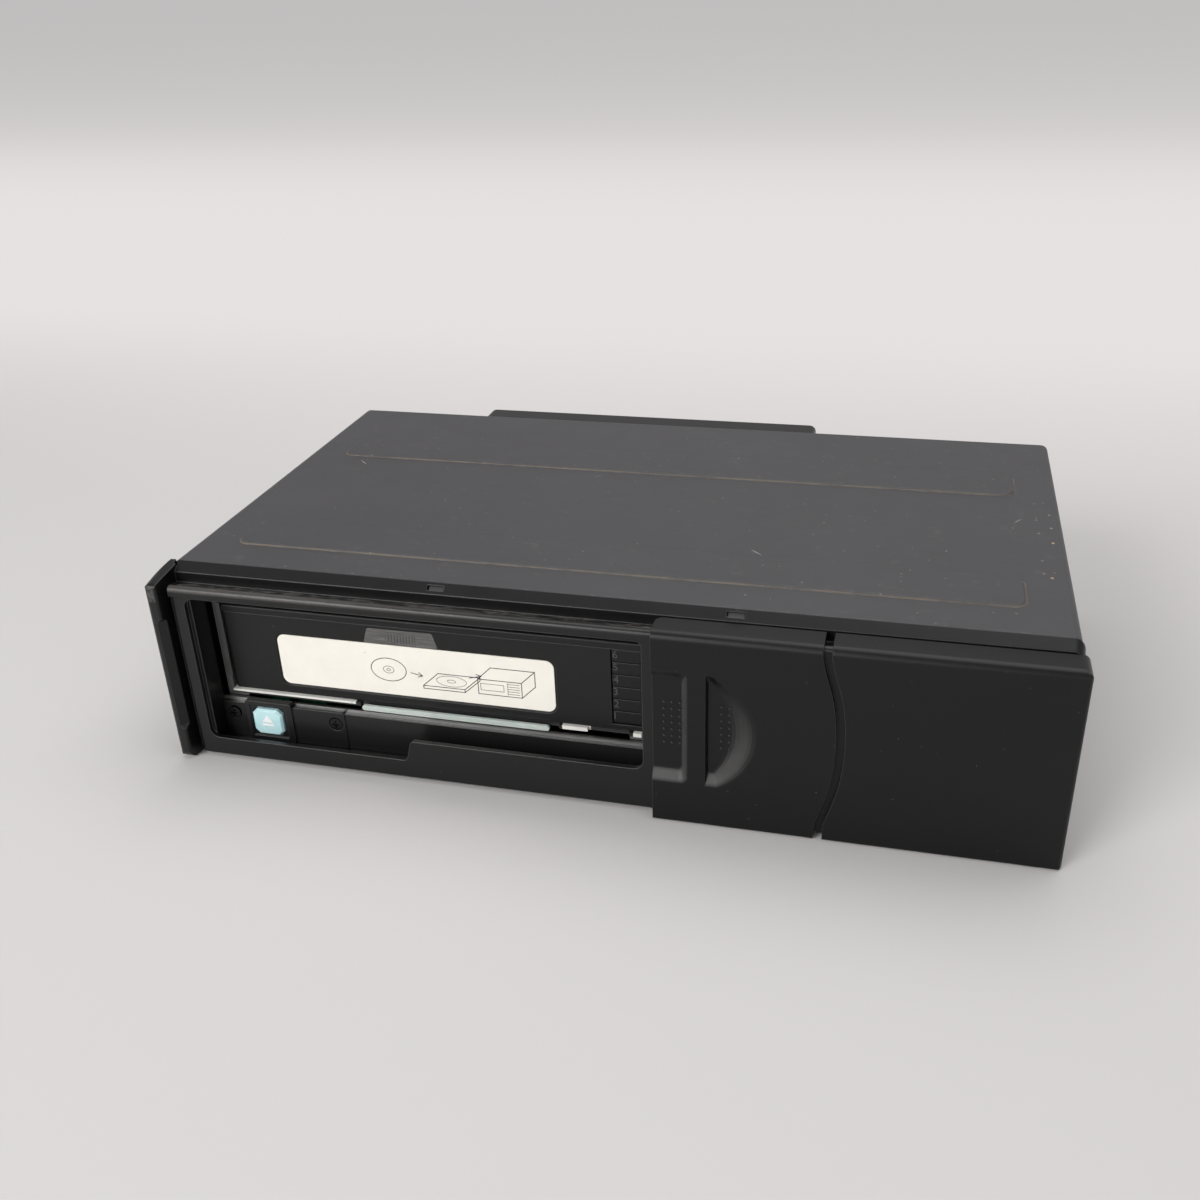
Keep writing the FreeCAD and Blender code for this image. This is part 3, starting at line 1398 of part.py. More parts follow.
cam_margin = 22.0          # cam's back end ahead of the deck's, at rest
cam_head = 6.0             # cam above the raised pins
slot_play = 0.25
slot_end = 0.6             # slot runs past the pin's rest and top places
cam_teeth = 12


def cam_slot(y):
    """Sloping slot for one of the deck's pins."""
    radius = deck_pin_radius + slot_play
    y0, z0 = y + slot_end, pin_z - slot_end
    y1, z1 = y - deck_travel - slot_end, pin_z + deck_travel + slot_end
    off = radius * math.sqrt(0.5)
    corners = [(y0 + off, z0 + off, 0), (y1 + off, z1 + off, 0), (y1 - off, z1 - off, 0),
               (y0 - off, z0 - off, 0)]
    start = cam_left - 1
    through = cam_wall + 2
    return [prism(outline(corners, in_side), start, through, RIGHT),
            rod((start, y0, z0), RIGHT, through, radius), rod((start, y1, z1), RIGHT, through, radius)]


def lift_cam():
    """Sliding plate with two slopes that lift the deck's pins, and its rack."""
    side_plate = box(cam_left, cam_left + cam_wall, cam_front, deck_back - cam_margin, cam_low,
                     pin_z + deck_travel + cam_head)
    first = lift_gear_y - (cam_teeth - 2) * tooth_pitch
    teeth = rack(lift_rack_x, cam_left + 0.3 * cam_wall, first, cam_teeth, cam_low, gear_wall)
    slots = [cutter for y in pin_rows for cutter in cam_slot(y)]
    return side_plate.fuse(teeth).cut(slots).removeSplitter()


def lift_gear():
    """Gear on the chassis that drives the lift cam."""
    return gear(lift_gear_x, lift_gear_y, cam_low, lift_gear_teeth, gear_wall, gear_bore + running_gap)


def lift_gear_post():
    """Stub axle of the lift gear."""
    foot = (lift_gear_x, lift_gear_y, chassis_top)
    axle = rod(foot, UP, gear_wall + 4 * fit_gap, gear_bore)
    return axle.fuse(rod(foot, UP, cam_low - chassis_top - lap_gap, 2 * gear_bore))


motor_right_of_spindle = 20.0
motor_back = 18.0          # motor's axis behind the magazine's face
motor_seat = 1.2
motor_boss = 1.5
motor_shaft = 5.5


def lift_motor():
    """Small motor lying on the chassis in front of the deck."""
    x0 = spindle_x + motor_right_of_spindle
    x1 = x0 + lift_motor_length
    y = magazine_front + motor_back
    z = chassis_top + lift_motor_radius
    can = rod((x0, y, z), RIGHT, lift_motor_length, lift_motor_radius)
    flat = box(x0, x1, y - lift_motor_radius, y + lift_motor_radius, chassis_top, chassis_top + motor_seat)
    shaft = rod((x1, y, z), RIGHT, motor_boss + motor_shaft, spindle_radius)
    return join([can, flat, rod((x1, y, z), RIGHT, motor_boss, 2 * motor_boss), shaft])


deck_flange = 5.0          # deck's side flange above its plate
deck_flange_wall = 1.2
window_half = 12.4         # pickup window of the deck
window_front = 11.5        # behind the spindle
rod_front = 8.0            # guide rods' front end behind the spindle
bush_height = 6.5
bush_drop = 2.0
bush_wall = 1.6
stub_collar = 1.0
motor_hole = 4.0
pin_reach = 0.8            # lift pins beyond the cam


def deck_frame():
    """Drive deck: plate with pickup window, side flange with lift pins, rod brackets, bushes."""
    floor = box(deck_left, deck_right, deck_front, deck_back, deck_low, deck_top)
    flange_left = deck_right - deck_flange_wall
    flange = box(flange_left, deck_right, deck_front + 2 * deck_wall, deck_back - 2 * deck_wall, deck_low,
                 deck_top + deck_flange)
    bracket_back = deck_back - rod_bracket
    window = box(spindle_x - window_half, spindle_x + window_half, spindle_y + window_front, bracket_back,
                 deck_low - 1, deck_top + 1)
    hole = rod((spindle_x, spindle_y, deck_low - 1), UP, deck_wall + 2, motor_hole)
    pins = [rod((flange_left, y, pin_z), RIGHT, cam_left + cam_wall + pin_reach - flange_left,
                deck_pin_radius)
            for y in pin_rows]
    bush_low = deck_low - bush_drop
    bushes = [rod((x, post_y, bush_low), UP, bush_height, post_radius + bush_wall) for x in post_rows]
    bores = [rod((x, post_y, bush_low - 1), UP, bush_height + 2, post_radius + running_gap)
             for x in post_rows]
    half = 2 * rod_radius
    brackets = [box(x - half, x + half, y, y + rod_bracket, rod_z - half, deck_low)
                for x in rod_places() for y in (spindle_y + rod_front, bracket_back)]
    holes = [rod((x, spindle_y + rod_front, rod_z), BACK, rod_bracket + 1, rod_radius) for x in rod_places()]
    stub_length = gear_wall + stub_collar
    stub = rod((sled_gear_x, sled_gear_y, deck_low - stub_length), UP, stub_length, gear_bore)
    deck = join([floor, flange, stub] + pins + bushes + brackets)
    return deck.cut([window, hole] + bores + holes)


def rod_places():
    """X of the two guide rods."""
    return (spindle_x - 0.5 * rod_spacing, spindle_x + 0.5 * rod_spacing)


def guide_rods():
    """Two polished rods under the deck for the sled."""
    y0 = spindle_y + rod_front
    return [rod((x, y0, rod_z), BACK, deck_back - rod_bracket - y0, rod_radius) for x in rod_places()]


motor_edge = 0.8
motor_neck = 3.4
neck_rise = 0.8
bore_floor = 1.5           # closed end of the motor's bearing bore


def spindle_motor():
    """Flat motor under the deck with a bearing bore."""
    low = deck_low - motor_height
    rim = motor_radius - motor_edge
    body = rod((spindle_x, spindle_y, low + motor_edge), UP, motor_height - motor_edge, motor_radius)
    base = Part.makeCone(rim, motor_radius, motor_edge, Vector(spindle_x, spindle_y, low))
    neck = rod((spindle_x, spindle_y, deck_low), UP, deck_wall + neck_rise, motor_neck)
    bore = rod((spindle_x, spindle_y, low + bore_floor), UP, motor_height + 2 * motor_neck,
               spindle_radius + running_gap)
    return body.fuse([base, neck]).cut(bore)


hub_taper = 1.2


def turntable():
    """Turntable with a centring cone and its shaft."""
    plate_low = turntable_top - hub_height - turntable_wall
    table = rod((spindle_x, spindle_y, plate_low), UP, turntable_wall, turntable_radius)
    cone = Part.makeCone(hub_radius, hub_radius - hub_taper, hub_height,
                         Vector(spindle_x, spindle_y, plate_low + turntable_wall))
    foot = deck_low - motor_height + bore_floor + fit_gap
    shaft = rod((spindle_x, spindle_y, foot), UP, plate_low - foot, spindle_radius)
    return table.fuse([cone, shaft]).removeSplitter()


sled_lug = 3.2             # sled beyond the rods' middles
sled_below = 2.6           # under and above the rods' axes
sled_above = 1.8
seat_half = 9.0
seat_inset = 2.0
seat_rise = 2.4
lens_well = 5.2
lens_well_floor = 1.0      # above the deck's plate
sled_teeth = 17


def pickup_sled():
    """Sled on the two rods, with a raised lens seat and its feed rack."""
    half = 0.5 * rod_spacing + sled_lug
    low = rod_z - sled_below
    body = box(spindle_x - half, spindle_x + half, sled_y, sled_y + sled_depth, low, rod_z + sled_above)
    seat = box(spindle_x - seat_half, spindle_x + seat_half, sled_y + seat_inset,
               sled_y + sled_depth - seat_inset,
               rod_z + sled_above, deck_top + seat_rise)
    bores = [rod((x, sled_y - 1, rod_z), BACK, sled_depth + 2, rod_radius + running_gap)
             for x in rod_places()]
    first = sled_gear_y - (sled_teeth - 2) * tooth_pitch
    teeth = rack(rack_x, spindle_x - half + lap_gap, first, sled_teeth, low, gear_wall)
    well = rod((spindle_x, sled_y + 0.5 * sled_depth, deck_top + lens_well_floor), UP, 2 * seat_rise,
               lens_well)
    return body.fuse([seat, teeth]).cut(bores + [well]).removeSplitter()


lens_radius = 3.0
lens_crown = 0.7


def pickup_lens():
    """Lens holder and lens in the sled's seat."""
    y = sled_y + 0.5 * sled_depth
    low = deck_top + lens_well_floor
    holder = rod((spindle_x, y, low), UP, lens_well_floor, lens_well - lap_gap)
    lens = Part.makeCone(lens_radius, 0.5 * lens_radius, lens_crown,
                         Vector(spindle_x, y, low + lens_well_floor))
    return holder.fuse(lens)


def sled_gear():
    """Pinion that moves the sled."""
    return gear(sled_gear_x, sled_gear_y, rod_z - sled_below, sled_gear_teeth, gear_wall,
                gear_bore + running_gap)


# ---------------------------------------------------------------- clamp
clamp_pivot_drop = 6.2     # pivot under the case's ceiling
puck_hang = 6.6            # puck's lower face under the pivot
clamp_pivot_y = inner_back - clamp_pivot_back
clamp_pivot_z = case_ceiling - clamp_pivot_drop
puck_low = clamp_pivot_z - puck_hang
clamp_low = clamp_pivot_z - clamp_wall
bracket_half = 22.0
bracket_wall = 1.2
bracket_below = 7.5
bracket_above = 4.0
ear_round = 3.5
ear_gap = 3.4              # knuckle to each ear
knuckle_radius = 3.2


def clamp_bracket():
    """Bracket on the back wall with two ears for the clamp's pin."""
    foot = box(spindle_x - bracket_half, spindle_x + bracket_half, inner_back - bracket_wall, inner_back,
               clamp_pivot_z - bracket_below, clamp_pivot_z + bracket_above)
    ears = []
    for x in (spindle_x - clamp_half - ear_gap - ear_wall, spindle_x + clamp_half + ear_gap):
        ear = box(x, x + ear_wall, clamp_pivot_y, inner_back - 0.5 * bracket_wall, clamp_pivot_z - ear_round,
                  clamp_pivot_z + ear_round)
        ears.append(ear.fuse(rod((x, clamp_pivot_y, clamp_pivot_z), RIGHT, ear_wall, ear_round)))
    bore = rod((spindle_x - bracket_half, clamp_pivot_y, clamp_pivot_z), RIGHT, 2 * bracket_half,
               clamp_pivot_radius)
    return join([foot] + ears).cut(bore)


def clamp_pin():
    """Pin through the bracket's ears and the arm."""
    reach = clamp_half + ear_gap + ear_wall + 1
    return rod((spindle_x - reach, clamp_pivot_y, clamp_pivot_z), RIGHT, 2 * reach, clamp_pivot_radius)


arm_tip_half = 8.0
arm_end = 6.0              # blade's end in front of the pivot
arm_window = 10.0
arm_window_front = 22.0
neck_radius = 2.0
neck_play = 0.4
cap_radius = 4.2
cap_wall = 0.9


def clamp_arm():
    """Pressed arm from the pivot to above the spindle, with a knuckle and a weight-saving window."""
    y_end = clamp_pivot_y - arm_end
    tip = rod((spindle_x, spindle_y, clamp_low), UP, clamp_wall, puck_radius - 2)
    blade = prism(outline([(spindle_x - arm_tip_half, spindle_y, 0), (spindle_x + arm_tip_half, spindle_y, 0),
                           (spindle_x + clamp_half, y_end, 0), (spindle_x - clamp_half, y_end, 0)], in_plan),
                  clamp_low, clamp_wall, UP)
    knuckle = rod((spindle_x - clamp_half, clamp_pivot_y, clamp_pivot_z), RIGHT, 2 * clamp_half,
                  knuckle_radius)
    link = box(spindle_x - clamp_half, spindle_x + clamp_half, y_end - 1, clamp_pivot_y, clamp_low,
               clamp_low + knuckle_radius)
    half_gap = 0.5 * clamp_half
    gap = box(spindle_x - half_gap, spindle_x + half_gap, clamp_pivot_y - 1.4 * knuckle_radius,
              clamp_pivot_y + 2 * knuckle_radius, clamp_low - knuckle_radius,
              clamp_pivot_z + 2 * knuckle_radius)
    bore = rod((spindle_x - 2 * clamp_half, clamp_pivot_y, clamp_pivot_z), RIGHT, 4 * clamp_half,
               clamp_pivot_radius + running_gap)
    hole = rod((spindle_x, spindle_y, clamp_low - 1), UP, clamp_wall + 2, neck_radius + neck_play)
    half = 0.5 * arm_window
    window = box(spindle_x - half, spindle_x + half, spindle_y + arm_window_front, y_end - 2 * arm_end,
                 clamp_low - 1, clamp_low + clamp_wall + 1)
    return join([tip, blade, knuckle, link]).cut([gap, bore, hole, window])


def clamp_puck():
    """Magnetic clamp disc that hangs in the arm's hole by its cap."""
    puck_top = puck_low + puck_wall
    cap_low = clamp_low + clamp_wall + fit_gap
    disc = rod((spindle_x, spindle_y, puck_low), UP, puck_wall, puck_radius)
    dish_depth = hub_height + fit_gap
    dish_radius = hub_radius + 2 * fit_gap
    dish_cut = rod((spindle_x, spindle_y, puck_low - 1), UP, dish_depth + 1, dish_radius)
    neck = rod((spindle_x, spindle_y, puck_top), UP, cap_low - puck_top, neck_radius)
    cap = rod((spindle_x, spindle_y, cap_low), UP, cap_wall, cap_radius)
    return join([disc.cut(dish_cut), neck, cap])


# ---------------------------------------------------------------- nodes
def build_nodes():
    """Every node's name and shape, housing first."""
    nodes = {
        "top_cover": top_cover(),
        "bottom_cover": bottom_cover(),
        "front_bezel": front_bezel(),
        "fascia_cover": fascia_cover(),
        "sliding_door": sliding_door(),
        "door_shutter": door_shutter(),
        "slot_escutcheon": slot_escutcheon(),
        "escutcheon_screws": group(escutcheon_screws()),
        "eject_button": eject_button(),
        "button_board": button_board(),
        "light_bar": light_bar(),
        "magazine_floor": magazine_floor(),
        "magazine_guide_left": magazine_guide_left(),
        "magazine_guide_right": magazine_guide_right(),
        "magazine_detent": group(magazine_detent()),
        "magazine_roof": magazine_roof(),
        "main_board": main_board(),
        "board_components": group(board_components()),
        "magazine_case": magazine_case(),
        "magazine_lid": magazine_lid(),
        "magazine_label": label_panel(0, magazine_front + lap_gap, magazine_front + label_wall + lap_gap),
        "magazine_push_tab": push_tab(0, magazine_front - tab_play, magazine_front + tab_wall - tab_play),
        "mechanism_chassis": mechanism_chassis(),
        "rubber_dampers": group(rubber_dampers()),
        "lift_posts": group(lift_posts()),
        "lift_cam": lift_cam(),
        "lift_gear": lift_gear(),
        "lift_gear_post": lift_gear_post(),
        "lift_motor": lift_motor(),
        "deck_frame": deck_frame(),
        "guide_rods": group(guide_rods()),
        "spindle_motor": spindle_motor(),
        "turntable": turntable(),
        "pickup_sled": pickup_sled(),
        "pickup_lens": pickup_lens(),
        "sled_gear": sled_gear(),
        "clamp_bracket": clamp_bracket(),
        "clamp_pin": clamp_pin(),
        "clamp_arm": clamp_arm(),
        "clamp_puck": clamp_puck(),
        "tilt_dial_left": tilt_dial(case_left, 1),
        "tilt_dial_right": tilt_dial(case_right, -1),
        "mount_nuts": group(mount_nuts()),
        "cover_screws": group(side_screws(True)),
        "rear_housing": rear_housing(),
        "rear_connector": rear_connector(),
        "connector_pins": group(connector_pins()),
    }
    for level in range(tray_count):
        nodes["disc_tray_{}".format(level + 1)] = disc_tray(level)
    return nodes


def main():
    """Build every node and store it about the middle of the footprint."""
    os.makedirs("parts", exist_ok=True)
    for name, shape in build_nodes().items():
        shape.translate(Vector(-0.5 * front_width, -0.5 * depth, 0))
        shape.exportStep("parts/{}.step".format(name))


main()
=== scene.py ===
"""Looks of a car disc changer: camera, studio, finishes and the fine pieces on its front.

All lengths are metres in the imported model's own frame: +X right, +Y back, +Z up.
"""

import logging
import math
from dataclasses import dataclass, field
from enum import Enum
from typing import Callable, NamedTuple, Sequence

import bpy
from mathutils import Matrix, Vector


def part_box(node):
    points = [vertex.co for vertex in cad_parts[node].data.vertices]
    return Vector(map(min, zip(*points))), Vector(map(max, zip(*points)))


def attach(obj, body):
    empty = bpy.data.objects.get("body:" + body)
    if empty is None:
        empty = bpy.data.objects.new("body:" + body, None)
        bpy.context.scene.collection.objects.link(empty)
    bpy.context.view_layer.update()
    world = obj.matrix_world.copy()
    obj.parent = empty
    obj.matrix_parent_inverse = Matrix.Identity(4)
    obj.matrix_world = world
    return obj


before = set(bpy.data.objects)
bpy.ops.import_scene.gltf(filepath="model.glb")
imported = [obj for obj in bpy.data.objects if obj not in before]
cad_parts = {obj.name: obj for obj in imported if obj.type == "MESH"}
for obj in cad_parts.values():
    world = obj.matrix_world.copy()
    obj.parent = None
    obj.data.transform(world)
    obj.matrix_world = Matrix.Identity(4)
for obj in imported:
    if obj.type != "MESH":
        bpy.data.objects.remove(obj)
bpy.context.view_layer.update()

MM = 0.001
UPRIGHT = (math.radians(90.0), 0.0, 0.0)  # turns a flat shape to face the front
FACING = 0.9  # least share of a normal along Y on a face that points forwards or back
TRAYS = 6

logging.basicConfig(level=logging.INFO, format="%(name)s: %(message)s")
LOG = logging.getLogger("changer")

Pair = tuple[float, float]
Point = tuple[float, float, float]
Colour = tuple[float, float, float]
Corner = tuple[float | None, float | None, float | None]
Socket = bpy.types.NodeSocket
Piece = bpy.types.Object


# --------------------------------------------------------------------------- patterns
class Noise(NamedTuple):
    """Noise: cells per metre, octaves and weight of the fine ones."""

    scale: float
    detail: float = 2.0
    rough: float = 0.5


class Relief(NamedTuple):
    """Fine relief: depth, strength, and radius that sharp edges are shaded with."""

    depth: float
    strength: float
    soften: float = 0.0


class Mottle(NamedTuple):
    """Cloudy patches: their noise, the values that give none and full cover, and strength."""

    noise: Noise
    low: float
    high: float
    strength: float = 1.0


class Flecks(NamedTuple):
    """Scattered crumbs: cells per metre, radius in cells, share of cells with one, strength."""

    scale: float
    size: float
    share: float
    strength: float = 1.0


class Nicks(NamedTuple):
    """Short straight nicks in plan: direction about Z, half length, half width, share of cells."""

    turn: float
    length: float
    width: float
    share: float


class Zone(NamedTuple):
    """Box in object space with soft sides, None where it has no side."""

    low: Corner
    high: Corner
    soft: float


# --------------------------------------------------------------------------- node graphs
class Graph:
    """Node tree of one material, with short calls for what the finishes need."""

    EDGE_LIMITS = (0.985, 0.86)  # agreement of true and rounded normals off and on an edge
    EDGE_SAMPLES = 6
    SPOT_CORE = 0.6  # share of a spot's radius that is solid
    SPOT_STEP = 0.8  # chosen cells' values run smoothly up to this share of their range
    CRUMB_NOISE = 4.0  # noise cells to one crumb cell
    CRUMB_SHIFT = 0.35  # how far that noise shifts a crumb's rim, in cells
    NICK_RADIUS = 0.1  # half a nick's length and width in its own stretched cell
    LINE_CORE = 0.3  # share of a line's half width that is solid

    def __init__(self, name: str) -> None:
        """Start an empty material with a surface shader.

        Args:
            name: Name of the material.
        """
        self.material = bpy.data.materials.new(name)
        self.material.use_nodes = True
        self.tree = self.material.node_tree
        self.tree.nodes.clear()
        self.output = self.tree.nodes.new("ShaderNodeOutputMaterial")
        self.shader = self.tree.nodes.new("ShaderNodeBsdfPrincipled")
        self.tree.links.new(self.shader.outputs["BSDF"], self.output.inputs["Surface"])
        self.place = self.tree.nodes.new("ShaderNodeTexCoord").outputs["Object"]

    def node(self, kind: str, **settings: object) -> bpy.types.Node:
        """Add a node and set its properties.

        Args:
            kind: Node type after "ShaderNode".
            settings: Properties of the node.

        Returns:
            The new node.
        """
        made = self.tree.nodes.new("ShaderNode" + kind)
        for key, value in settings.items():
            setattr(made, key, value)
        return made

    def feed(self, socket: Socket, value: object) -> None:
        """Link a socket to an output, or set its value.

        Args:
            socket: Input socket.
            value: Output socket, number or colour.
        """
        if isinstance(value, Socket):
            self.tree.links.new(value, socket)
        elif isinstance(value, tuple) and socket.type == "RGBA":
            socket.default_value = (*value, 1.0)
        else:
            socket.default_value = value

    def fill(self, made: bpy.types.Node, **values: object) -> None:
        """Set or link a node's sockets.

        Args:
            made: The node.
            values: Socket names with underscores for spaces.
        """
        for key, value in values.items():
            self.feed(made.inputs[key.replace("_", " ")], value)

    def surface(self, **values: object) -> None:
        """Set or link the surface shader's sockets, named with underscores for spaces."""
        self.fill(self.shader, **values)

    def stretched(self, scale: Point, turn: float = 0.0) -> Socket:
        """Object coordinates turned about Z and then scaled along each axis.

        Args:
            scale: Scale along X, Y and Z.
            turn: Turn about Z in radians.

        Returns:
            Vector socket.
        """
        vector = self.place
        for key, value in (("Rotation", (0.0, 0.0, turn)), ("Scale", scale)):
            mapping = self.node("Mapping")
            self.feed(mapping.inputs["Vector"], vector)
            mapping.inputs[key].default_value = value
            vector = mapping.outputs["Vector"]
        return vector

    def noise(self, noise: Noise, vector: Socket | None = None) -> Socket:
        """Noise value.

        Args:
            noise: Its scale and octaves.
            vector: Coordinates, or None for plain object coordinates.

        Returns:
            Value socket.
        """
        made = self.node("TexNoise")
        self.fill(made, Vector=vector or self.place, Scale=noise.scale, Detail=noise.detail,
                  Roughness=noise.rough)
        return made.outputs["Fac"]

    def band(self, value: Socket, low: float, high: float) -> Socket:
        """Smooth step from 0 at low to 1 at high.

        Args:
            value: Value socket.
            low: Value that gives 0.
            high: Value that gives 1.

        Returns:
            Value socket between 0 and 1.
        """
        made = self.node("MapRange", interpolation_type="SMOOTHSTEP")
        self.fill(made, Value=value, From_Min=low, From_Max=high)
        return made.outputs["Result"]

    def level(self, value: Socket, low: float, high: float) -> Socket:
        """Spread a 0 to 1 value between two levels, as for roughness.

        Args:
            value: Value socket between 0 and 1.
            low: Level at 0.
            high: Level at 1.

        Returns:
            Value socket.
        """
        made = self.node("MapRange")
        self.fill(made, Value=value, To_Min=low, To_Max=high)
        return made.outputs["Result"]

    def maths(self, kind: str, first: object, second: object = 0.0, clamp: bool = True) -> Socket:
        """Result of a Math node.

        Args:
            kind: Operation of the node.
            first: First operand.
            second: Second operand.
            clamp: Whether the result is kept between 0 and 1.

        Returns:
            Value socket.
        """
        made = self.node("Math", operation=kind, use_clamp=clamp)
        self.feed(made.inputs[0], first)
        self.feed(made.inputs[1], second)
        return made.outputs["Value"]

    def times(self, first: Socket, *others: object) -> Socket:
        """Product of masks and strengths, kept between 0 and 1.

        Args:
            first: First mask.
            others: Masks or numbers.

        Returns:
            Value socket.
        """
        for other in others:
            first = self.maths("MULTIPLY", first, other)
        return first

    def mix(self, share: object, first: object, second: object) -> Socket:
        """Mix two colours.

        Args:
            share: Share of the second colour.
            first: First colour.
            second: Second colour.

        Returns:
            Colour socket.
        """
        made = self.node("Mix", data_type="RGBA")
        for index, value in ((0, share), (6, first), (7, second)):
            self.feed(made.inputs[index], value)
        return made.outputs[2]

    def coat(self, under: object, over: object, *shares: object) -> Socket:
        """Lay a colour over another where all the masks are high.

        Args:
            under: Colour below.
            over: Colour on top.
            shares: Masks and strengths, which multiply.

        Returns:
            Colour socket.
        """
        return self.mix(self.times(*shares), under, over)

    def mottle(self, cover: Mottle) -> Socket:
        """Mask of cloudy patches, before their strength."""
        return self.band(self.noise(cover.noise), cover.low, cover.high)

    def axis(self, name: str, low: float, high: float) -> Socket:
        """Mask that rises from 0 to 1 along one object axis.

        Args:
            name: X, Y or Z.
            low: Place where the mask is 0, in metres.
            high: Place where it is 1.

        Returns:
            Value socket.
        """
        parts = self.node("SeparateXYZ")
        self.feed(parts.inputs[0], self.place)
        return self.band(parts.outputs[name], low, high)

    def inside(self, zone: Zone) -> Socket:
        """Mask of a box in object space.

        Args:
            zone: The box and the width of its soft sides.

        Returns:
            Value socket.
        """
        sides = []
        for name, first, last in zip("XYZ", zone.low, zone.high):
            for place, soft in ((first, zone.soft), (last, -zone.soft)):
                if place is not None:
                    sides.append(self.axis(name, place, place + soft))
        return self.times(*sides)

    def outline(self, centre: Pair, half: Pair, corner: float, width: float) -> Socket:
        """Mask of the outline of a rounded rectangle in plan.

        Args:
            centre: Middle of the rectangle in X and Y.
            half: Half its sides.
            corner: Corner radius.
            width: Half the line's width.

        Returns:
            Value socket.
        """
        parts = self.node("SeparateXYZ")
        self.feed(parts.inputs[0], self.place)
        squares = []
        for name, middle, reach in zip("XY", centre, half):
            off = self.maths("SUBTRACT", parts.outputs[name], middle, clamp=False)
            off = self.maths("ABSOLUTE", off, clamp=False)
            out = self.maths("SUBTRACT", off, reach - corner, clamp=False)
            out = self.maths("MAXIMUM", out, clamp=False)
            squares.append(self.maths("MULTIPLY", out, out, clamp=False))
        away = self.maths("SQRT", self.maths("ADD", *squares, clamp=False), clamp=False)
        off = self.maths("SUBTRACT", away, corner, clamp=False)
        return self.band(self.maths("ABSOLUTE", off, clamp=False), width, self.LINE_CORE * width)

    def spots(self, vector: Socket, size: float, share: float, space: str = "3D") -> Socket:
        """Mask of scattered spots, one in a share of the unit cells.

        Args:
            vector: Coordinates in cells.
            size: Spot radius as a share of a cell.
            share: Share of the cells that hold a spot.
            space: 3D, or 2D for spots in plan.

        Returns:
            Value socket.
        """
        cells = self.node("TexVoronoi", voronoi_dimensions=space)
        self.fill(cells, Vector=vector, Scale=1.0)
        near = self.band(cells.outputs["Distance"], size, self.SPOT_CORE * size)
        parts = self.node("SeparateColor")
        self.feed(parts.inputs[0], cells.outputs["Color"])
        chosen = self.band(parts.outputs[0], 1.0 - share, 1.0 - self.SPOT_STEP * share)
        return self.times(near, chosen)

    def flecks(self, crumbs: Flecks) -> Socket:
        """Mask of scattered crumbs with uneven rims, before their strength.

        Args:
            crumbs: Scale, size and share of the crumbs.

        Returns:
            Value socket.
        """
        noise = self.node("TexNoise")
        self.fill(noise, Scale=self.CRUMB_NOISE * crumbs.scale, Vector=self.place)
        both = self.node("VectorMath", operation="ADD")
        sources = ((noise.outputs["Color"], self.CRUMB_SHIFT), (self.place, crumbs.scale))
        for index, (vector, scale) in enumerate(sources):
            part = self.node("VectorMath", operation="SCALE")
            self.feed(part.inputs[0], vector)
            self.feed(part.inputs["Scale"], scale)
            self.feed(both.inputs[index], part.outputs["Vector"])
        return self.spots(both.outputs["Vector"], crumbs.size, crumbs.share)

    def nicks(self, marks: Nicks) -> Socket:
        """Mask of short straight nicks along one direction in plan.

        Args:
            marks: Direction, size and share of the nicks.

        Returns:
            Value socket.
        """
        scale = (self.NICK_RADIUS / marks.length, self.NICK_RADIUS / marks.width, 1.0)
        return self.spots(self.stretched(scale, marks.turn), self.NICK_RADIUS, marks.share, "2D")

    def facing(self) -> Socket:
        """Return the surface's own normal."""
        return self.node("NewGeometry").outputs["Normal"]

    def rounded(self, radius: float) -> Socket:
        """Normal with the sharp edges rounded off.

        Args:
            radius: Radius of the rounding in metres.

        Returns:
            Vector socket.
        """
        bevel = self.node("Bevel", samples=self.EDGE_SAMPLES)
        self.fill(bevel, Radius=radius)
        return bevel.outputs[0]

    def edge(self, radius: float) -> Socket:
        """Mask of the edges, from a rounded normal.

        Args:
            radius: Radius of the rounding in metres.

        Returns:
            Value socket, 1 on the edges.
        """
        dot = self.node("VectorMath", operation="DOT_PRODUCT")
        self.feed(dot.inputs[0], self.rounded(radius))
        self.feed(dot.inputs[1], self.facing())
        return self.band(dot.outputs["Value"], *self.EDGE_LIMITS)

    def bump(self, height: Socket, relief: Relief) -> None:
        """Drive the shader's normal from a height.

        Args:
            height: Height between 0 and 1.
            relief: Depth, strength and softening of edges.
        """
        made = self.node("Bump")
        self.fill(made, Height=height, Distance=relief.depth, Strength=relief.strength)
        if relief.soften:
            self.fill(made, Normal=self.rounded(relief.soften))
        self.surface(Normal=made.outputs["Normal"])


def shade(colour: Colour, factor: float) -> Colour:
    """Lighten or darken a colour by a factor."""
    return tuple(factor * part for part in colour)


# --------------------------------------------------------------------------- finishes
@dataclass(frozen=True)
class Finish:
    """One finish, made into a material when it is first used."""

    name: str
    slot: str

    def paint(self, graph: Graph) -> None:
        """Build the finish's nodes in the graph of a new material."""
        raise NotImplementedError

    def material(self) -> bpy.types.Material:
        """Make the material once.

        Returns:
            The material.
        """
        found = bpy.data.materials.get("finish_" + self.name)
        if found:
            return found
        graph = Graph("finish_" + self.name)
        self.paint(graph)
        return graph.material


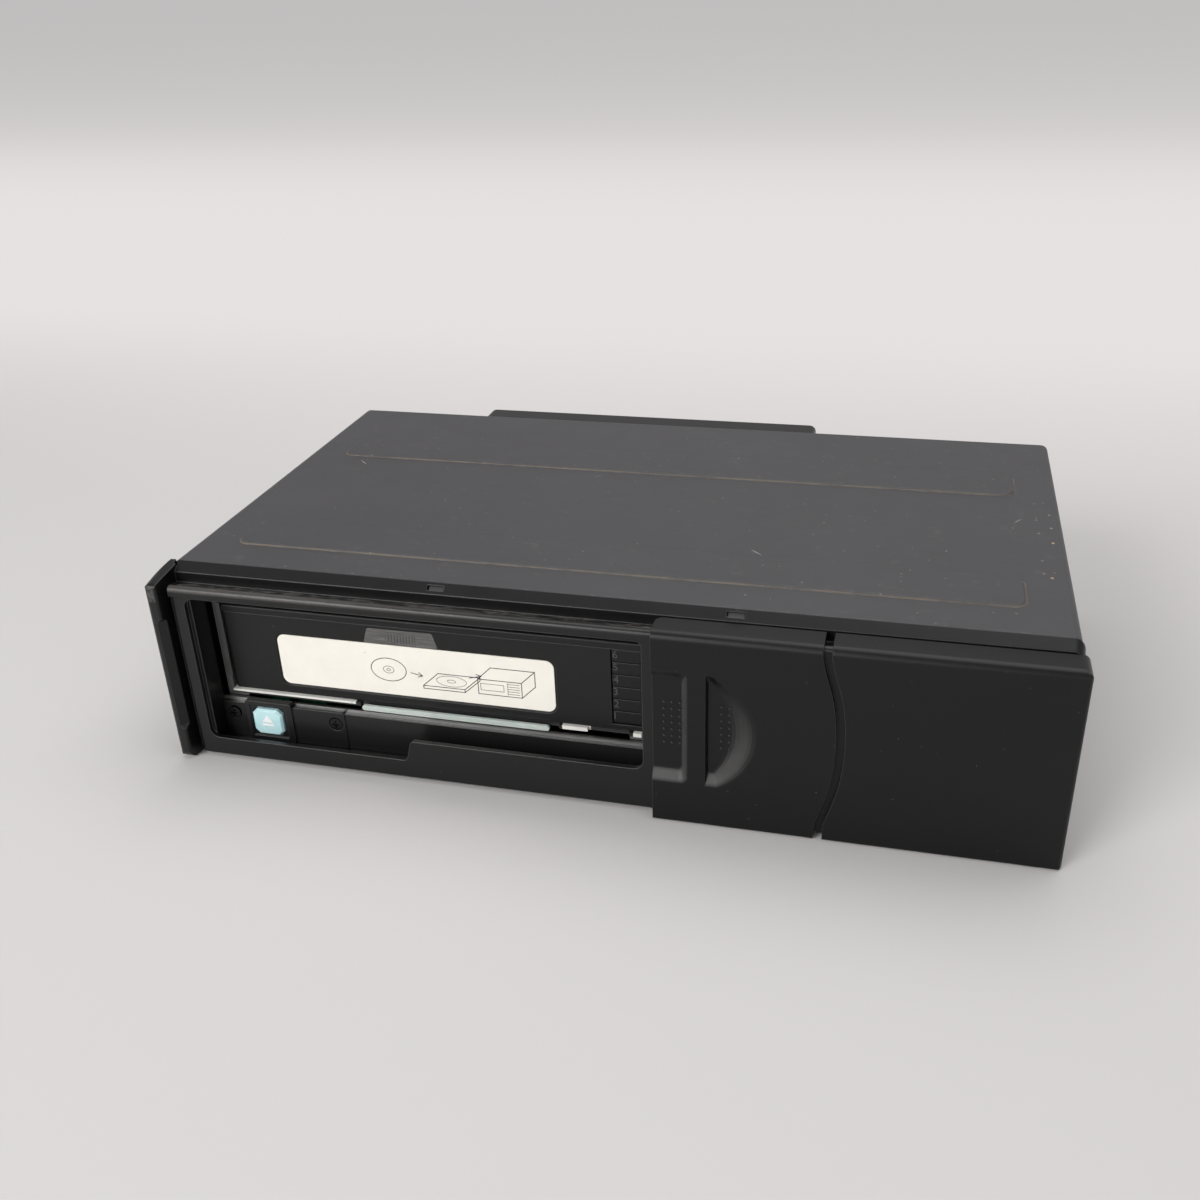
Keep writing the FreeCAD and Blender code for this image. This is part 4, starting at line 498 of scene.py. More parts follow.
@dataclass(frozen=True)
class SatinPaint(Finish):
    """Satin charcoal paint on sheet metal, with dust, crumbs, nicks and dusty rib feet."""

    colour: Colour = (0.042, 0.041, 0.044)
    rubbed: Colour = (0.42, 0.40, 0.38)
    dust: Colour = (0.26, 0.24, 0.21)
    tan: Colour = (0.50, 0.38, 0.22)
    paler: float = 1.25
    roughness: Pair = (0.42, 0.54)
    cloud: Mottle = Mottle(Noise(28.0, 4.0, 0.6), 0.3, 0.75, 0.5)
    haze: Mottle = Mottle(Noise(210.0, 5.0, 0.7), 0.55, 0.8, 0.12)
    specks: Flecks = Flecks(420.0, 0.16, 0.12, 0.45)
    rib_middles: Pair = (-49.6 * MM, 26.7 * MM)
    rib_x: float = 0.7 * MM
    rib_half: Pair = (114.6 * MM, 9.0 * MM)
    rib_corner: float = 4.0 * MM
    foot_width: float = 0.4 * MM
    foot_strength: float = 0.28
    foot_fade: Pair = (-6.0 * MM, 8.0 * MM)  # from a rib's middle, where the dust thickens
    foot_front: float = 0.55
    foot_gaps: Mottle = Mottle(Noise(120.0, 3.0, 0.5), 0.3, 0.6)
    foot_least: float = 0.35
    crumbs: Flecks = Flecks(95.0, 0.06, 0.12, 0.8)
    litter: Flecks = Flecks(520.0, 0.3, 0.12)
    litter_zone: Zone = Zone((0.119, -0.045, 0.06), (None, 0.015, None), 0.004)
    nicks: tuple[Nicks, Nicks] = (Nicks(-0.95, 2.2 * MM, 0.14 * MM, 0.008),
                                  Nicks(0.75, 2.8 * MM, 0.16 * MM, 0.007))
    nick_heights: Pair = (0.058, 0.060)
    nick_strength: float = 0.75
    worn_edge: float = 0.0005
    worn: Mottle = Mottle(Noise(300.0, 3.0, 0.5), 0.4, 0.75, 0.25)
    sheen: Noise = Noise(60.0, 4.0, 0.6)
    tooth: Noise = Noise(3200.0, 2.0, 0.6)
    relief: Relief = Relief(0.02 * MM, 0.5, 0.35 * MM)

    def rib_feet(self, graph: Graph, base: Socket) -> Socket:
        """Dust round the feet of the cover's two ribs, strongest behind them.

        Args:
            graph: Graph of the new material.
            base: Colour of the paint.

        Returns:
            Colour socket.
        """
        for middle in self.rib_middles:
            foot = graph.outline((self.rib_x, middle), self.rib_half, self.rib_corner, self.foot_width)
            fade = graph.axis("Y", *(middle + run for run in self.foot_fade))
            back = graph.level(fade, self.foot_front, 1.0)
            uneven = graph.level(graph.mottle(self.foot_gaps), self.foot_least, 1.0)
            base = graph.coat(base, self.tan, foot, back, uneven, self.foot_strength)
        return base

    def paint(self, graph: Graph) -> None:
        """Build the paint's nodes.

        Args:
            graph: Graph of the new material.
        """
        lit = shade(self.colour, self.paler)
        base = graph.coat(self.colour, lit, graph.mottle(self.cloud), self.cloud.strength)
        base = graph.coat(base, self.dust, graph.mottle(self.haze), self.haze.strength)
        base = graph.coat(base, self.dust, graph.flecks(self.specks), self.specks.strength)
        base = self.rib_feet(graph, base)
        litter = graph.times(graph.flecks(self.litter), graph.inside(self.litter_zone))
        crumbs = graph.maths("ADD", graph.flecks(self.crumbs), litter)
        base = graph.coat(base, self.tan, crumbs, self.crumbs.strength)
        nicks = graph.maths("ADD", *(graph.nicks(marks) for marks in self.nicks))
        raised = graph.axis("Z", *self.nick_heights)
        base = graph.coat(base, self.rubbed, nicks, raised, self.nick_strength)
        worn = graph.edge(self.worn_edge)
        base = graph.coat(base, self.rubbed, worn, graph.mottle(self.worn), self.worn.strength)
        rough = graph.level(graph.noise(self.sheen), *self.roughness)
        graph.surface(Base_Color=base, Roughness=rough)
        graph.bump(graph.noise(self.tooth), self.relief)


@dataclass(frozen=True)
class GrainedPlastic(Finish):
    """Black moulded plastic with a fine eroded grain, its edges painted paler as a painted highlight with a
    little polish.
    """

    colour: Colour = (0.0032, 0.0032, 0.0033)
    # edge_colour: paler colour painted on the edges as a painted highlight, with a little polish
    edge_colour: Colour = (0.085, 0.085, 0.086)
    dust: Colour = (0.25, 0.24, 0.22)
    paler: float = 1.5
    roughness: Pair = (0.30, 0.40)
    cloud: Mottle = Mottle(Noise(35.0, 3.0, 0.6), 0.3, 0.8, 0.4)
    edge: float = 0.4 * MM
    polish: float = 0.5
    specks: Flecks = Flecks(500.0, 0.13, 0.06)
    dusty: float = 0.16
    sheen: Noise = Noise(90.0, 4.0, 0.6)
    grain: Noise = Noise(2600.0, 2.0, 0.6)
    relief: Relief = Relief(0.02 * MM, 0.6, 0.45 * MM)
    gloss: float = 0.29

    def base(self, graph: Graph) -> Socket:
        """Colour of the clean plastic with its specks and a painted highlight on its edges.

        Args:
            graph: Graph of the new material.

        Returns:
            Colour socket.
        """
        lit = shade(self.colour, self.paler)
        base = graph.coat(self.colour, lit, graph.mottle(self.cloud), self.cloud.strength)
        # Painted highlight: edges are painted paler, where rounded edges would catch the lamps.
        base = graph.coat(base, self.edge_colour, graph.edge(self.edge), self.polish)
        return graph.coat(base, self.dust, graph.flecks(self.specks), self.dusty)

    def paint(self, graph: Graph) -> None:
        """Build the plastic's nodes.

        Args:
            graph: Graph of the new material.
        """
        rough = graph.level(graph.noise(self.sheen), *self.roughness)
        graph.surface(Base_Color=self.base(graph), Roughness=rough, Specular_IOR_Level=self.gloss)
        graph.bump(graph.noise(self.grain), self.relief)


@dataclass(frozen=True)
class DoorPlastic(GrainedPlastic):
    """Sliding door's plastic, with a painted highlight on the recess walls that face up or left."""

    # paler colour painted on the recess walls as a painted highlight
    rubbed: Colour = (0.060, 0.059, 0.058)
    recesses: Zone = Zone((20.0 * MM, -85.4 * MM, 11.0 * MM),
                          (55.0 * MM, -82.6 * MM, 53.0 * MM), 1.0 * MM)
    pushed: Pair = (0.04, 0.45)  # how far a wall faces up or left, for none and full painted highlight
    uneven: Noise = Noise(180.0, 3.0, 0.6)
    least: float = 0.5

    def base(self, graph: Graph) -> Socket:
        """Colour of the plastic with a painted highlight on the recess walls, which face up or left.

        Args:
            graph: Graph of the new material.

        Returns:
            Colour socket.
        """
        facing = graph.node("SeparateXYZ")
        graph.feed(facing.inputs[0], graph.facing())
        pushed = graph.maths("SUBTRACT", facing.outputs["Z"], facing.outputs["X"], clamp=False)
        walls = graph.times(graph.band(pushed, *self.pushed), graph.inside(self.recesses))
        uneven = graph.level(graph.noise(self.uneven), self.least, 1.0)
        # Painted highlight: recess walls that face up or left, towards the lamps, are painted paler.
        return graph.coat(super().base(graph), self.rubbed, walls, uneven)


@dataclass(frozen=True)
class FramePlastic(GrainedPlastic):
    """Front frame's plastic, with a dusty groove, a painted highlight on the rail that grows to the left,
    and a rubbed rim corner.
    """

    # grey: dust in the groove, wear on the rim corner, and the painted highlight on the rail
    grey: Colour = (0.17, 0.16, 0.145)
    streaks: Noise = Noise(1.0, 4.0, 0.7)
    streak_scale: Point = (260.0, 900.0, 900.0)
    streak_limits: Pair = (0.42, 0.68)
    groove: Zone = Zone((-0.124, -0.0796, 0.0564), (None, -0.0752, 0.0582), 0.4 * MM)
    groove_dirt: float = 0.55
    rail: Zone = Zone((-0.1245, -0.0830, 0.0572), (0.018, -0.0796, None), 0.8 * MM)
    rail_run: Pair = (0.0, -0.12)  # along X, over which the painted highlight on the rail grows to the left
    rail_dulling: Pair = (0.12, 1.25)
    rail_streaks: Pair = (0.24, 0.34)
    corner: Zone = Zone((-0.1292, -0.0856, 0.0548), (-0.1264, -0.0835, 0.0600), 0.7 * MM)
    blots: Mottle = Mottle(Noise(700.0, 3.0, 0.6), 0.38, 0.56, 0.4)

    def base(self, graph: Graph) -> Socket:
        """Colour of the plastic with its dirt and the painted highlight on its rail.

        Args:
            graph: Graph of the new material.

        Returns:
            Colour socket.
        """
        streaks = graph.noise(self.streaks, graph.stretched(self.streak_scale))
        streaks = graph.band(streaks, *self.streak_limits)
        groove = graph.inside(self.groove)
        dirt_and_highlight = graph.coat(super().base(graph), self.grey, streaks, groove, self.groove_dirt)
        # Painted highlight: the rail's bead is painted grey, most at the left, where its shine would be.
        along = graph.level(graph.axis("X", *self.rail_run), *self.rail_dulling)
        uneven = graph.level(streaks, *self.rail_streaks)
        dirt_and_highlight = graph.coat(dirt_and_highlight, self.grey, graph.inside(self.rail), along, uneven)
        blots = graph.mottle(self.blots)
        return graph.coat(dirt_and_highlight, self.grey, blots, graph.inside(self.corner), self.blots.strength)


@dataclass(frozen=True)
class BrushedPlastic(Finish):
    """Dark grey plastic with fine brushed lines along its length."""

    colour: Colour = (0.075, 0.072, 0.068)
    pale: Colour = (0.17, 0.165, 0.155)
    lines: Noise = Noise(1.0, 3.0, 0.7)
    line_scale: Point = (90.0, 3600.0, 3600.0)
    line_limits: Pair = (0.42, 0.72)
    roughness: Pair = (0.34, 0.5)
    edge: float = 0.3 * MM
    polish: float = 0.4
    relief: Relief = Relief(0.03 * MM, 0.5, 0.2 * MM)

    def paint(self, graph: Graph) -> None:
        """Build the plastic's nodes.

        Args:
            graph: Graph of the new material.
        """
        lines = graph.noise(self.lines, graph.stretched(self.line_scale))
        base = graph.mix(graph.band(lines, *self.line_limits), self.colour, self.pale)
        # Painted highlight: edges are painted in the pale colour, with a little polish.
        base = graph.coat(base, self.pale, graph.edge(self.edge), self.polish)
        graph.surface(Base_Color=base, Roughness=graph.level(lines, *self.roughness))
        graph.bump(lines, self.relief)


@dataclass(frozen=True)
class FilmLabel(Finish):
    """Cream film with a faint mottle and greyed edges."""

    colour: Colour = (0.88, 0.85, 0.765)
    speck_colour: Colour = (0.35, 0.33, 0.28)
    edge_colour: Colour = (0.5, 0.48, 0.42)
    darker: float = 0.95
    mottle: Noise = Noise(140.0, 4.0, 0.6)
    mottle_limits: Pair = (0.3, 0.8)
    roughness: Pair = (0.42, 0.55)
    specks: Flecks = Flecks(350.0, 0.12, 0.03, 0.5)
    edge: float = 0.0003
    greying: float = 0.35

    def paint(self, graph: Graph) -> None:
        """Build the film's nodes.

        Args:
            graph: Graph of the new material.
        """
        mottle = graph.noise(self.mottle)
        patches = graph.band(mottle, *self.mottle_limits)
        base = graph.mix(patches, self.colour, shade(self.colour, self.darker))
        base = graph.coat(base, self.speck_colour, graph.flecks(self.specks), self.specks.strength)
        base = graph.coat(base, self.edge_colour, graph.edge(self.edge), self.greying)
        graph.surface(Base_Color=base, Roughness=graph.level(mottle, *self.roughness))


@dataclass(frozen=True)
class Ink(Finish):
    """Thin printed ink with slightly uneven cover."""

    colour: Colour = (0.02, 0.02, 0.023)
    cover: Mottle = Mottle(Noise(900.0, 2.0, 0.5), 0.35, 0.65)
    thinner: float = 1.8
    roughness: Pair = (0.5, 0.6)

    def paint(self, graph: Graph) -> None:
        """Build the ink's nodes.

        Args:
            graph: Graph of the new material.
        """
        cover = graph.mottle(self.cover)
        base = graph.mix(cover, shade(self.colour, self.thinner), self.colour)
        graph.surface(Base_Color=base, Roughness=graph.level(cover, *self.roughness))


@dataclass(frozen=True)
class ClearResin(Finish):
    """Tinted translucent moulding that glows a little from inside."""

    colour: Colour = (0.56, 0.79, 0.81)
    deep: Colour = (0.42, 0.67, 0.71)
    haze: Mottle = Mottle(Noise(160.0, 3.0, 0.6), 0.3, 0.7, 0.6)
    roughness: Pair = (0.16, 0.28)
    glow: float = 0.35
    glow_depth: float = 2.0 * MM
    glow_reach: Point = (0.6, 1.0, 1.0)
    coat: float = 0.3
    grain: Noise = Noise(700.0)
    relief: Relief = Relief(0.01 * MM, 0.3)

    def paint(self, graph: Graph) -> None:
        """Build the resin's nodes.

        Args:
            graph: Graph of the new material.
        """
        haze = graph.mottle(self.haze)
        base = graph.coat(self.colour, self.deep, haze, self.haze.strength)
        graph.surface(Base_Color=base, Roughness=graph.level(haze, *self.roughness),
                      Subsurface_Weight=self.glow, Subsurface_Scale=self.glow_depth,
                      Subsurface_Radius=self.glow_reach, Coat_Weight=self.coat)
        graph.bump(graph.noise(self.grain), self.relief)


@dataclass(frozen=True)
class WhitePlastic(Finish):
    """Off-white engineering plastic with a little grey dust."""

    colour: Colour = (0.78, 0.77, 0.72)
    dust: Colour = (0.3, 0.29, 0.27)
    haze: Mottle = Mottle(Noise(90.0, 4.0, 0.6), 0.35, 0.8)
    darker: float = 0.86
    specks: Flecks = Flecks(400.0, 0.15, 0.07, 0.5)
    sheen: Noise = Noise(90.0, 4.0, 0.6)
    roughness: Pair = (0.42, 0.6)
    grain: Noise = Noise(1500.0)
    relief: Relief = Relief(0.01 * MM, 0.4)

    def base(self, graph: Graph) -> Socket:
        """Colour of the plastic with its dust.

        Args:
            graph: Graph of the new material.

        Returns:
            Colour socket.
        """
        base = graph.mix(graph.mottle(self.haze), self.colour, shade(self.colour, self.darker))
        return graph.coat(base, self.dust, graph.flecks(self.specks), self.specks.strength)

    def paint(self, graph: Graph) -> None:
        """Build the plastic's nodes.

        Args:
            graph: Graph of the new material.
        """
        rough = graph.level(graph.noise(self.sheen), *self.roughness)
        graph.surface(Base_Color=self.base(graph), Roughness=rough)
        graph.bump(graph.noise(self.grain), self.relief)


@dataclass(frozen=True)
class SlotFloorPlastic(WhitePlastic):
    """White plastic seen at the left and at two stops, blackened along the rest of its edge."""

    black: Colour = (0.012, 0.012, 0.012)
    soft: float = 0.1 * MM
    white_left: float = -74.2 * MM
    white_low: float = 18.75 * MM
    stops: tuple[Pair, Pair] = ((-9.1 * MM, -0.7 * MM), (12.1 * MM, 16.0 * MM))

    def base(self, graph: Graph) -> Socket:
        """Colour of the white plastic with its blackened stretches.

        Args:
            graph: Graph of the new material.

        Returns:
            Colour socket.
        """
        corner = Zone((None, None, self.white_low), (self.white_left, None, None), self.soft)
        shown = graph.inside(corner)
        for low, high in self.stops:
            stop = graph.inside(Zone((low, None, None), (high, None, None), self.soft))
            shown = graph.maths("MAXIMUM", shown, stop)
        return graph.mix(shown, self.black, super().base(graph))


@dataclass(frozen=True)
class PlatedSteel(Finish):
    """Rolled plated steel with fine lines along one direction and dull patches."""

    colour: Colour = (0.55, 0.55, 0.54)
    roughness: Pair = (0.24, 0.42)
    lines: Noise = Noise(1.0, 2.0, 0.6)
    line_scale: Point = (40.0, 3000.0, 3000.0)
    patches: Mottle = Mottle(Noise(70.0, 4.0, 0.6), 0.3, 0.75, 0.5)
    duller: float = 0.72
    relief: Relief = Relief(0.008 * MM, 0.4)

    def paint(self, graph: Graph) -> None:
        """Build the steel's nodes.

        Args:
            graph: Graph of the new material.
        """
        lines = graph.noise(self.lines, graph.stretched(self.line_scale))
        dull = shade(self.colour, self.duller)
        base = graph.coat(self.colour, dull, graph.mottle(self.patches), self.patches.strength)
        graph.surface(Base_Color=base, Roughness=graph.level(lines, *self.roughness), Metallic=1.0)
        graph.bump(lines, self.relief)


@dataclass(frozen=True)
class SoftRubber(Finish):
    """Black rubber with a chalky bloom."""

    colour: Colour = (0.02, 0.02, 0.02)
    chalk: Colour = (0.06, 0.058, 0.055)
    bloom: Mottle = Mottle(Noise(220.0, 4.0, 0.65), 0.4, 0.8)
    roughness: Pair = (0.6, 0.85)
    relief: Relief = Relief(0.03 * MM, 0.5)

    def paint(self, graph: Graph) -> None:
        """Build the rubber's nodes.

        Args:
            graph: Graph of the new material.
        """
        bloom = graph.mottle(self.bloom)
        base = graph.mix(bloom, self.colour, self.chalk)
        graph.surface(Base_Color=base, Roughness=graph.level(bloom, *self.roughness))
        graph.bump(bloom, self.relief)


@dataclass(frozen=True)
class SolderMask(Finish):
    """Green circuit board with traces under the mask."""

    colour: Colour = (0.008, 0.06, 0.028)
    trace: Colour = (0.02, 0.12, 0.05)
    cells: float = 160.0
    gap: float = 0.035
    patches: Mottle = Mottle(Noise(120.0, 3.0, 0.5), 0.45, 0.6)
    roughness: Pair = (0.25, 0.4)
    coat: float = 0.3
    relief: Relief = Relief(0.03 * MM, 0.5)

    def paint(self, graph: Graph) -> None:
        """Build the board's nodes.

        Args:
            graph: Graph of the new material.
        """
        cells = graph.node("TexBrick")
        graph.fill(cells, Vector=graph.place, Scale=self.cells, Mortar_Size=self.gap)
        mottle = graph.mottle(self.patches)
        lines = graph.times(cells.outputs["Fac"], mottle)
        base = graph.mix(lines, self.colour, self.trace)
        graph.surface(Base_Color=base, Roughness=graph.level(mottle, *self.roughness),
                      Coat_Weight=self.coat)
        graph.bump(lines, self.relief)


@dataclass(frozen=True)
class PickupGlass(Finish):
    """Coated lens with a violet cast."""

    colour: Colour = (0.25, 0.2, 0.45)
    haze: Mottle = Mottle(Noise(600.0, 2.0, 0.5), 0.3, 0.7)
    paler: float = 1.3
    roughness: Pair = (0.03, 0.08)
    metal: float = 0.2

    def paint(self, graph: Graph) -> None:
        """Build the lens's nodes.

        Args:
            graph: Graph of the new material.
        """
        haze = graph.mottle(self.haze)
        base = graph.mix(haze, self.colour, shade(self.colour, self.paler))
        graph.surface(Base_Color=base, Roughness=graph.level(haze, *self.roughness),
                      Coat_Weight=1.0, Metallic=self.metal)


class Finishes(Enum):
    """The finishes of the changer."""

    CASE = SatinPaint("case", "case_paint")
    FRONT = GrainedPlastic("front", "front_plastic")
    DOOR = DoorPlastic("door", "front_plastic")
    SLOT = GrainedPlastic("slot", "front_plastic", colour=(0.009, 0.009, 0.009), gloss=0.4)
    # Painted highlight: the dots are painted paler than the door, in place of the glints on their tips.
    DOTS = GrainedPlastic("dots", "front_plastic", colour=(0.026, 0.026, 0.026), dusty=0.1,
                          relief=Relief(0.02 * MM, 0.6))
    # The frame's edges are painted paler still, as a stronger painted highlight.
    FRAME = FramePlastic("frame", "front_plastic", edge_colour=(0.14, 0.14, 0.138), gloss=0.4)
    MAGAZINE = GrainedPlastic("magazine", "magazine_plastic", colour=(0.008, 0.0078, 0.0078), dusty=0.15)
    TRAY = GrainedPlastic("tray", "magazine_plastic", colour=(0.006, 0.006, 0.006), dusty=0.1)
    # Painted highlight: the numbers, black like their trays, are painted paler so they stand out as if lit.
    DIGIT = GrainedPlastic("digit", "magazine_plastic", colour=(0.055, 0.054, 0.053), dusty=0.1,
                           relief=Relief(0.02 * MM, 0.6))
    GUIDE = GrainedPlastic("guide", "white_plastic", colour=(0.10, 0.10, 0.098), dusty=0.2)
    TAB = BrushedPlastic("tab", "tab_grey")
    LABEL = FilmLabel("label", "label_paper")
    INK = Ink("ink", "label_paper")
    BUTTON = ClearResin("button", "button_cyan")
    LIGHT_BAR = ClearResin("light_bar", "light_green", colour=(0.56, 0.61, 0.57), deep=(0.45, 0.52, 0.48))
    WHITE = WhitePlastic("white", "white_plastic")
    SLOT_FLOOR = SlotFloorPlastic("slot_floor", "white_plastic")
    MARK = WhitePlastic("mark", "white_plastic", colour=(0.86, 0.88, 0.88))
    STEEL = PlatedSteel("steel", "steel")
    SPRING = PlatedSteel("spring", "steel", colour=(0.22, 0.22, 0.22), roughness=(0.35, 0.5))
    DARK_STEEL = PlatedSteel("dark_steel", "black_screw", colour=(0.05, 0.05, 0.053), roughness=(0.25, 0.4))
    RUBBER = SoftRubber("rubber", "rubber")
    BOARD = SolderMask("board", "board_green")
    COMPONENT = GrainedPlastic("component", "component_black", colour=(0.02, 0.02, 0.02),
                               grain=Noise(4000.0, 2.0, 0.6))
    BRASS = PlatedSteel("brass", "pin_brass", colour=(0.72, 0.52, 0.22))
    LENS = PickupGlass("lens", "lens")


# --------------------------------------------------------------------------- modelling
class Bench:
    """Modelling calls that leave each piece at the origin with its place in its mesh."""

    SMOOTH = 35.0  # faces that meet at less than this many degrees are shaded smooth
    SHARP = 40.0  # edges sharper than this many degrees are rounded

    @staticmethod
    def clear() -> None:
        """Leave edit mode and deselect everything."""
        if bpy.context.object and bpy.context.object.mode != "OBJECT":
            bpy.ops.object.mode_set(mode="OBJECT")
        bpy.ops.object.select_all(action="DESELECT")

    @classmethod
    def only(cls, piece: Piece) -> None:
        """Select one piece and make it active.

        Args:
            piece: The piece.
        """
        cls.clear()
        piece.select_set(True)
        bpy.context.view_layer.objects.active = piece

    @classmethod
    def block(cls, name: str, low: Sequence[float], high: Sequence[float]) -> Piece:
        """Add a block between two corners, as a start for shaping.

        Args:
            name: Name of the piece.
            low: Lowest corner.
            high: Highest corner.

        Returns:
            The new piece.
        """
        cls.clear()
        middle = [(a + b) / 2 for a, b in zip(low, high)]
        bpy.ops.mesh.primitive_cube_add(size=1.0, location=middle)
        piece = bpy.context.object
        piece.scale = [b - a for a, b in zip(low, high)]
        cls.settle(piece, name)
        return piece

    @classmethod
    def disc(cls, name: str, centre: Sequence[float], radius: float, depth: float,
             sides: int) -> Piece:
        """Add a short cylinder that faces the front, as a start for shaping.

        Args:
            name: Name of the piece.
            centre: Its middle.
            radius: Radius.
            depth: Length along its axis.
            sides: Number of sides.

        Returns:
            The new piece.
        """
        cls.clear()
        bpy.ops.mesh.primitive_cylinder_add(vertices=sides, radius=radius, depth=depth,
                                            location=centre, rotation=UPRIGHT)
        piece = bpy.context.object
        cls.settle(piece, name)
        return piece

    @staticmethod
    def place(piece: Piece, corner: Sequence[float]) -> None:
        """Move a mesh so that its left, back and middle height meet a point.

        Args:
            piece: Piece to move.
            corner: Left side, back side and middle height.
        """
        spots = [vertex.co for vertex in piece.data.vertices]
        left = min(spot.x for spot in spots)
        back = max(spot.y for spot in spots)
        middle = 0.5 * (min(spot.z for spot in spots) + max(spot.z for spot in spots))
        piece.data.transform(Matrix.Translation(Vector(corner) - Vector((left, back, middle))))

    @classmethod
    def settle(cls, piece: Piece, name: str) -> None:
        """Name a piece and put its place, turn and scale into its mesh.

        Args:
            piece: The piece.
            name: Name of the piece and its mesh.
        """
        cls.only(piece)
        piece.name = name
        piece.data.name = name
        bpy.ops.object.transform_apply(location=True, rotation=True, scale=True)

    @classmethod
    def unpick(cls, piece: Piece, kind: str) -> None:
        """Deselect a piece's whole mesh and leave it ready for a selection in code.

        Args:
            piece: Piece to edit.
            kind: FACE or EDGE.
        """
        cls.only(piece)
        bpy.ops.object.mode_set(mode="EDIT")
        bpy.ops.mesh.select_mode(type=kind)
        bpy.ops.mesh.select_all(action="DESELECT")
        bpy.ops.object.mode_set(mode="OBJECT")

    @classmethod
    def pick_faces(cls, piece: Piece, chosen: Callable[[Vector], bool]) -> None:
        """Enter edit mode with the faces selected whose normal passes a test.

        Args:
            piece: Piece to edit.
            chosen: Test of a face's normal.
        """
        cls.unpick(piece, "FACE")
        for face in piece.data.polygons:
            face.select = chosen(face.normal)
        bpy.ops.object.mode_set(mode="EDIT")

    @classmethod
    def pick_edges(cls, piece: Piece, chosen: Callable[[Vector], bool]) -> None:
        """Enter edit mode with the edges selected whose two ends pass a test.

        Args:
            piece: Piece to edit.
            chosen: Test of an end's place.
        """
        cls.unpick(piece, "EDGE")
        corners = piece.data.vertices
        for edge in piece.data.edges:
            edge.select = all(chosen(corners[index].co) for index in edge.vertices)
        bpy.ops.object.mode_set(mode="EDIT")

    @classmethod
    def done(cls, piece: Piece, smooth: float | None = SMOOTH) -> None:
        """Leave edit mode and shade smooth below an angle.

        Args:
            piece: Piece to finish.
            smooth: Angle in degrees, or None for flat faces.
        """
        cls.only(piece)
        if smooth is not None:
            bpy.ops.object.shade_smooth_by_angle(angle=math.radians(smooth))

    @classmethod
    def copy(cls, piece: Piece, shift: Sequence[float]) -> Piece:
        """Copy a piece with its own mesh, moved by a shift.

        Args:
            piece: Piece to copy.
            shift: Shift in metres.

        Returns:
            The copy.
        """
        made = piece.copy()
        made.data = piece.data.copy()
        made.data.transform(Matrix.Translation(shift))
        bpy.context.scene.collection.objects.link(made)
        return made

    @classmethod
    def merge(cls, pieces: Sequence[Piece], name: str) -> Piece:
        """Join pieces into one.

        Args:
            pieces: Two or more pieces, the first of which stays.
            name: Name of the joined piece.

        Returns:
            The joined piece.
        """
        cls.only(pieces[0])
        for piece in pieces[1:]:
            piece.select_set(True)
        bpy.ops.object.join()
        pieces[0].name = name
        pieces[0].data.name = name
        return pieces[0]

    @classmethod
    def bevel(cls, piece: Piece, width: float, segments: int) -> None:
        """Round a piece's sharp edges with a modifier that is applied.

        Args:
            piece: Piece to round.
            width: Width of the rounding.
            segments: Segments of the rounding.
        """
        cls.only(piece)
        rounding = piece.modifiers.new("round", "BEVEL")
        rounding.width = width
        rounding.segments = segments
        rounding.limit_method = "ANGLE"
        rounding.angle_limit = math.radians(cls.SHARP)
        bpy.ops.object.modifier_apply(modifier="round")

    @staticmethod
    def dress(piece: Piece, finish: Finishes, body: str) -> None:
        """Give a piece its finish and body.

        Args:
            piece: Finished piece.
            finish: Its finish.
            body: CAD body that carries it.
        """
        piece.data.materials.clear()
        piece.data.materials.append(finish.value.material())
        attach(piece, body)
        LOG.info("piece %s on %s", piece.name, body)


# --------------------------------------------------------------------------- fine pieces
@dataclass
class GripDots:
    """Raised dots on the floors of the sliding door's two finger recesses."""

    dot_radius: float = 0.36 * MM
    dot_height: float = 0.32 * MM
    dot_sides: int = 12
    sunk: float = 0.5  # share of the height that is below the floor
    dome: float = 0.55  # share of the radius that is rounded
    shading: float = 60.0
    ray_start: float = -0.1  # in front of the door
    pitch_x: float = 2.2 * MM
    pitch_z: float = 2.16 * MM
    rows: int = 7
    first_z: float = 25.8 * MM
    edge_x: float = 23.65 * MM
    edge_columns: int = 3
    middle_x: float = 39.45 * MM
    middle_columns: int = 2

    def floor(self, x: float, z: float) -> float:
        """Find how deep the recess is.

        Args:
            x: Place along the door.
            z: Height.

        Returns:
            The floor's depth in the model's frame.
        """
        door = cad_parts["sliding_door"]
        hit, spot, _, _ = door.ray_cast(Vector((x, self.ray_start, z)), Vector((0.0, 1.0, 0.0)))
        return spot.y if hit else 0.0

    def dot(self) -> Piece:
        """Model one dot at the origin, domed at its front.

        Returns:
            The new dot.
        """
        centre = (0.0, -0.5 * (1.0 - self.sunk) * self.dot_height, 0.0)
        depth = (1.0 + self.sunk) * self.dot_height
        dot = Bench.disc("grip_dot", centre, self.dot_radius, depth, self.dot_sides)
        Bench.pick_faces(dot, lambda normal: normal.y < -FACING)
        bpy.ops.mesh.bevel(offset=self.dome * self.dot_radius, segments=2, affect="EDGES")
        Bench.done(dot, self.shading)
        return dot

    def field(self, name: str, first_x: float, columns: int) -> None:
        """Model a field of dots and fix it to the door.

        Args:
            name: Name of the piece.
            first_x: First column's place.
            columns: Number of columns.
        """
        pattern = self.dot()
        dots = []
        for column in range(columns):
            for row in range(self.rows):
                x = first_x + column * self.pitch_x
                z = self.first_z + row * self.pitch_z
                dots.append(Bench.copy(pattern, (x, self.floor(x, z), z)))
        bpy.data.objects.remove(pattern)
        Bench.dress(Bench.merge(dots, name), Finishes.DOTS, "door")

    def build(self) -> None:
        """Build both fields."""
        self.field("grip_dots_edge", self.edge_x, self.edge_columns)
        self.field("grip_dots_middle", self.middle_x, self.middle_columns)


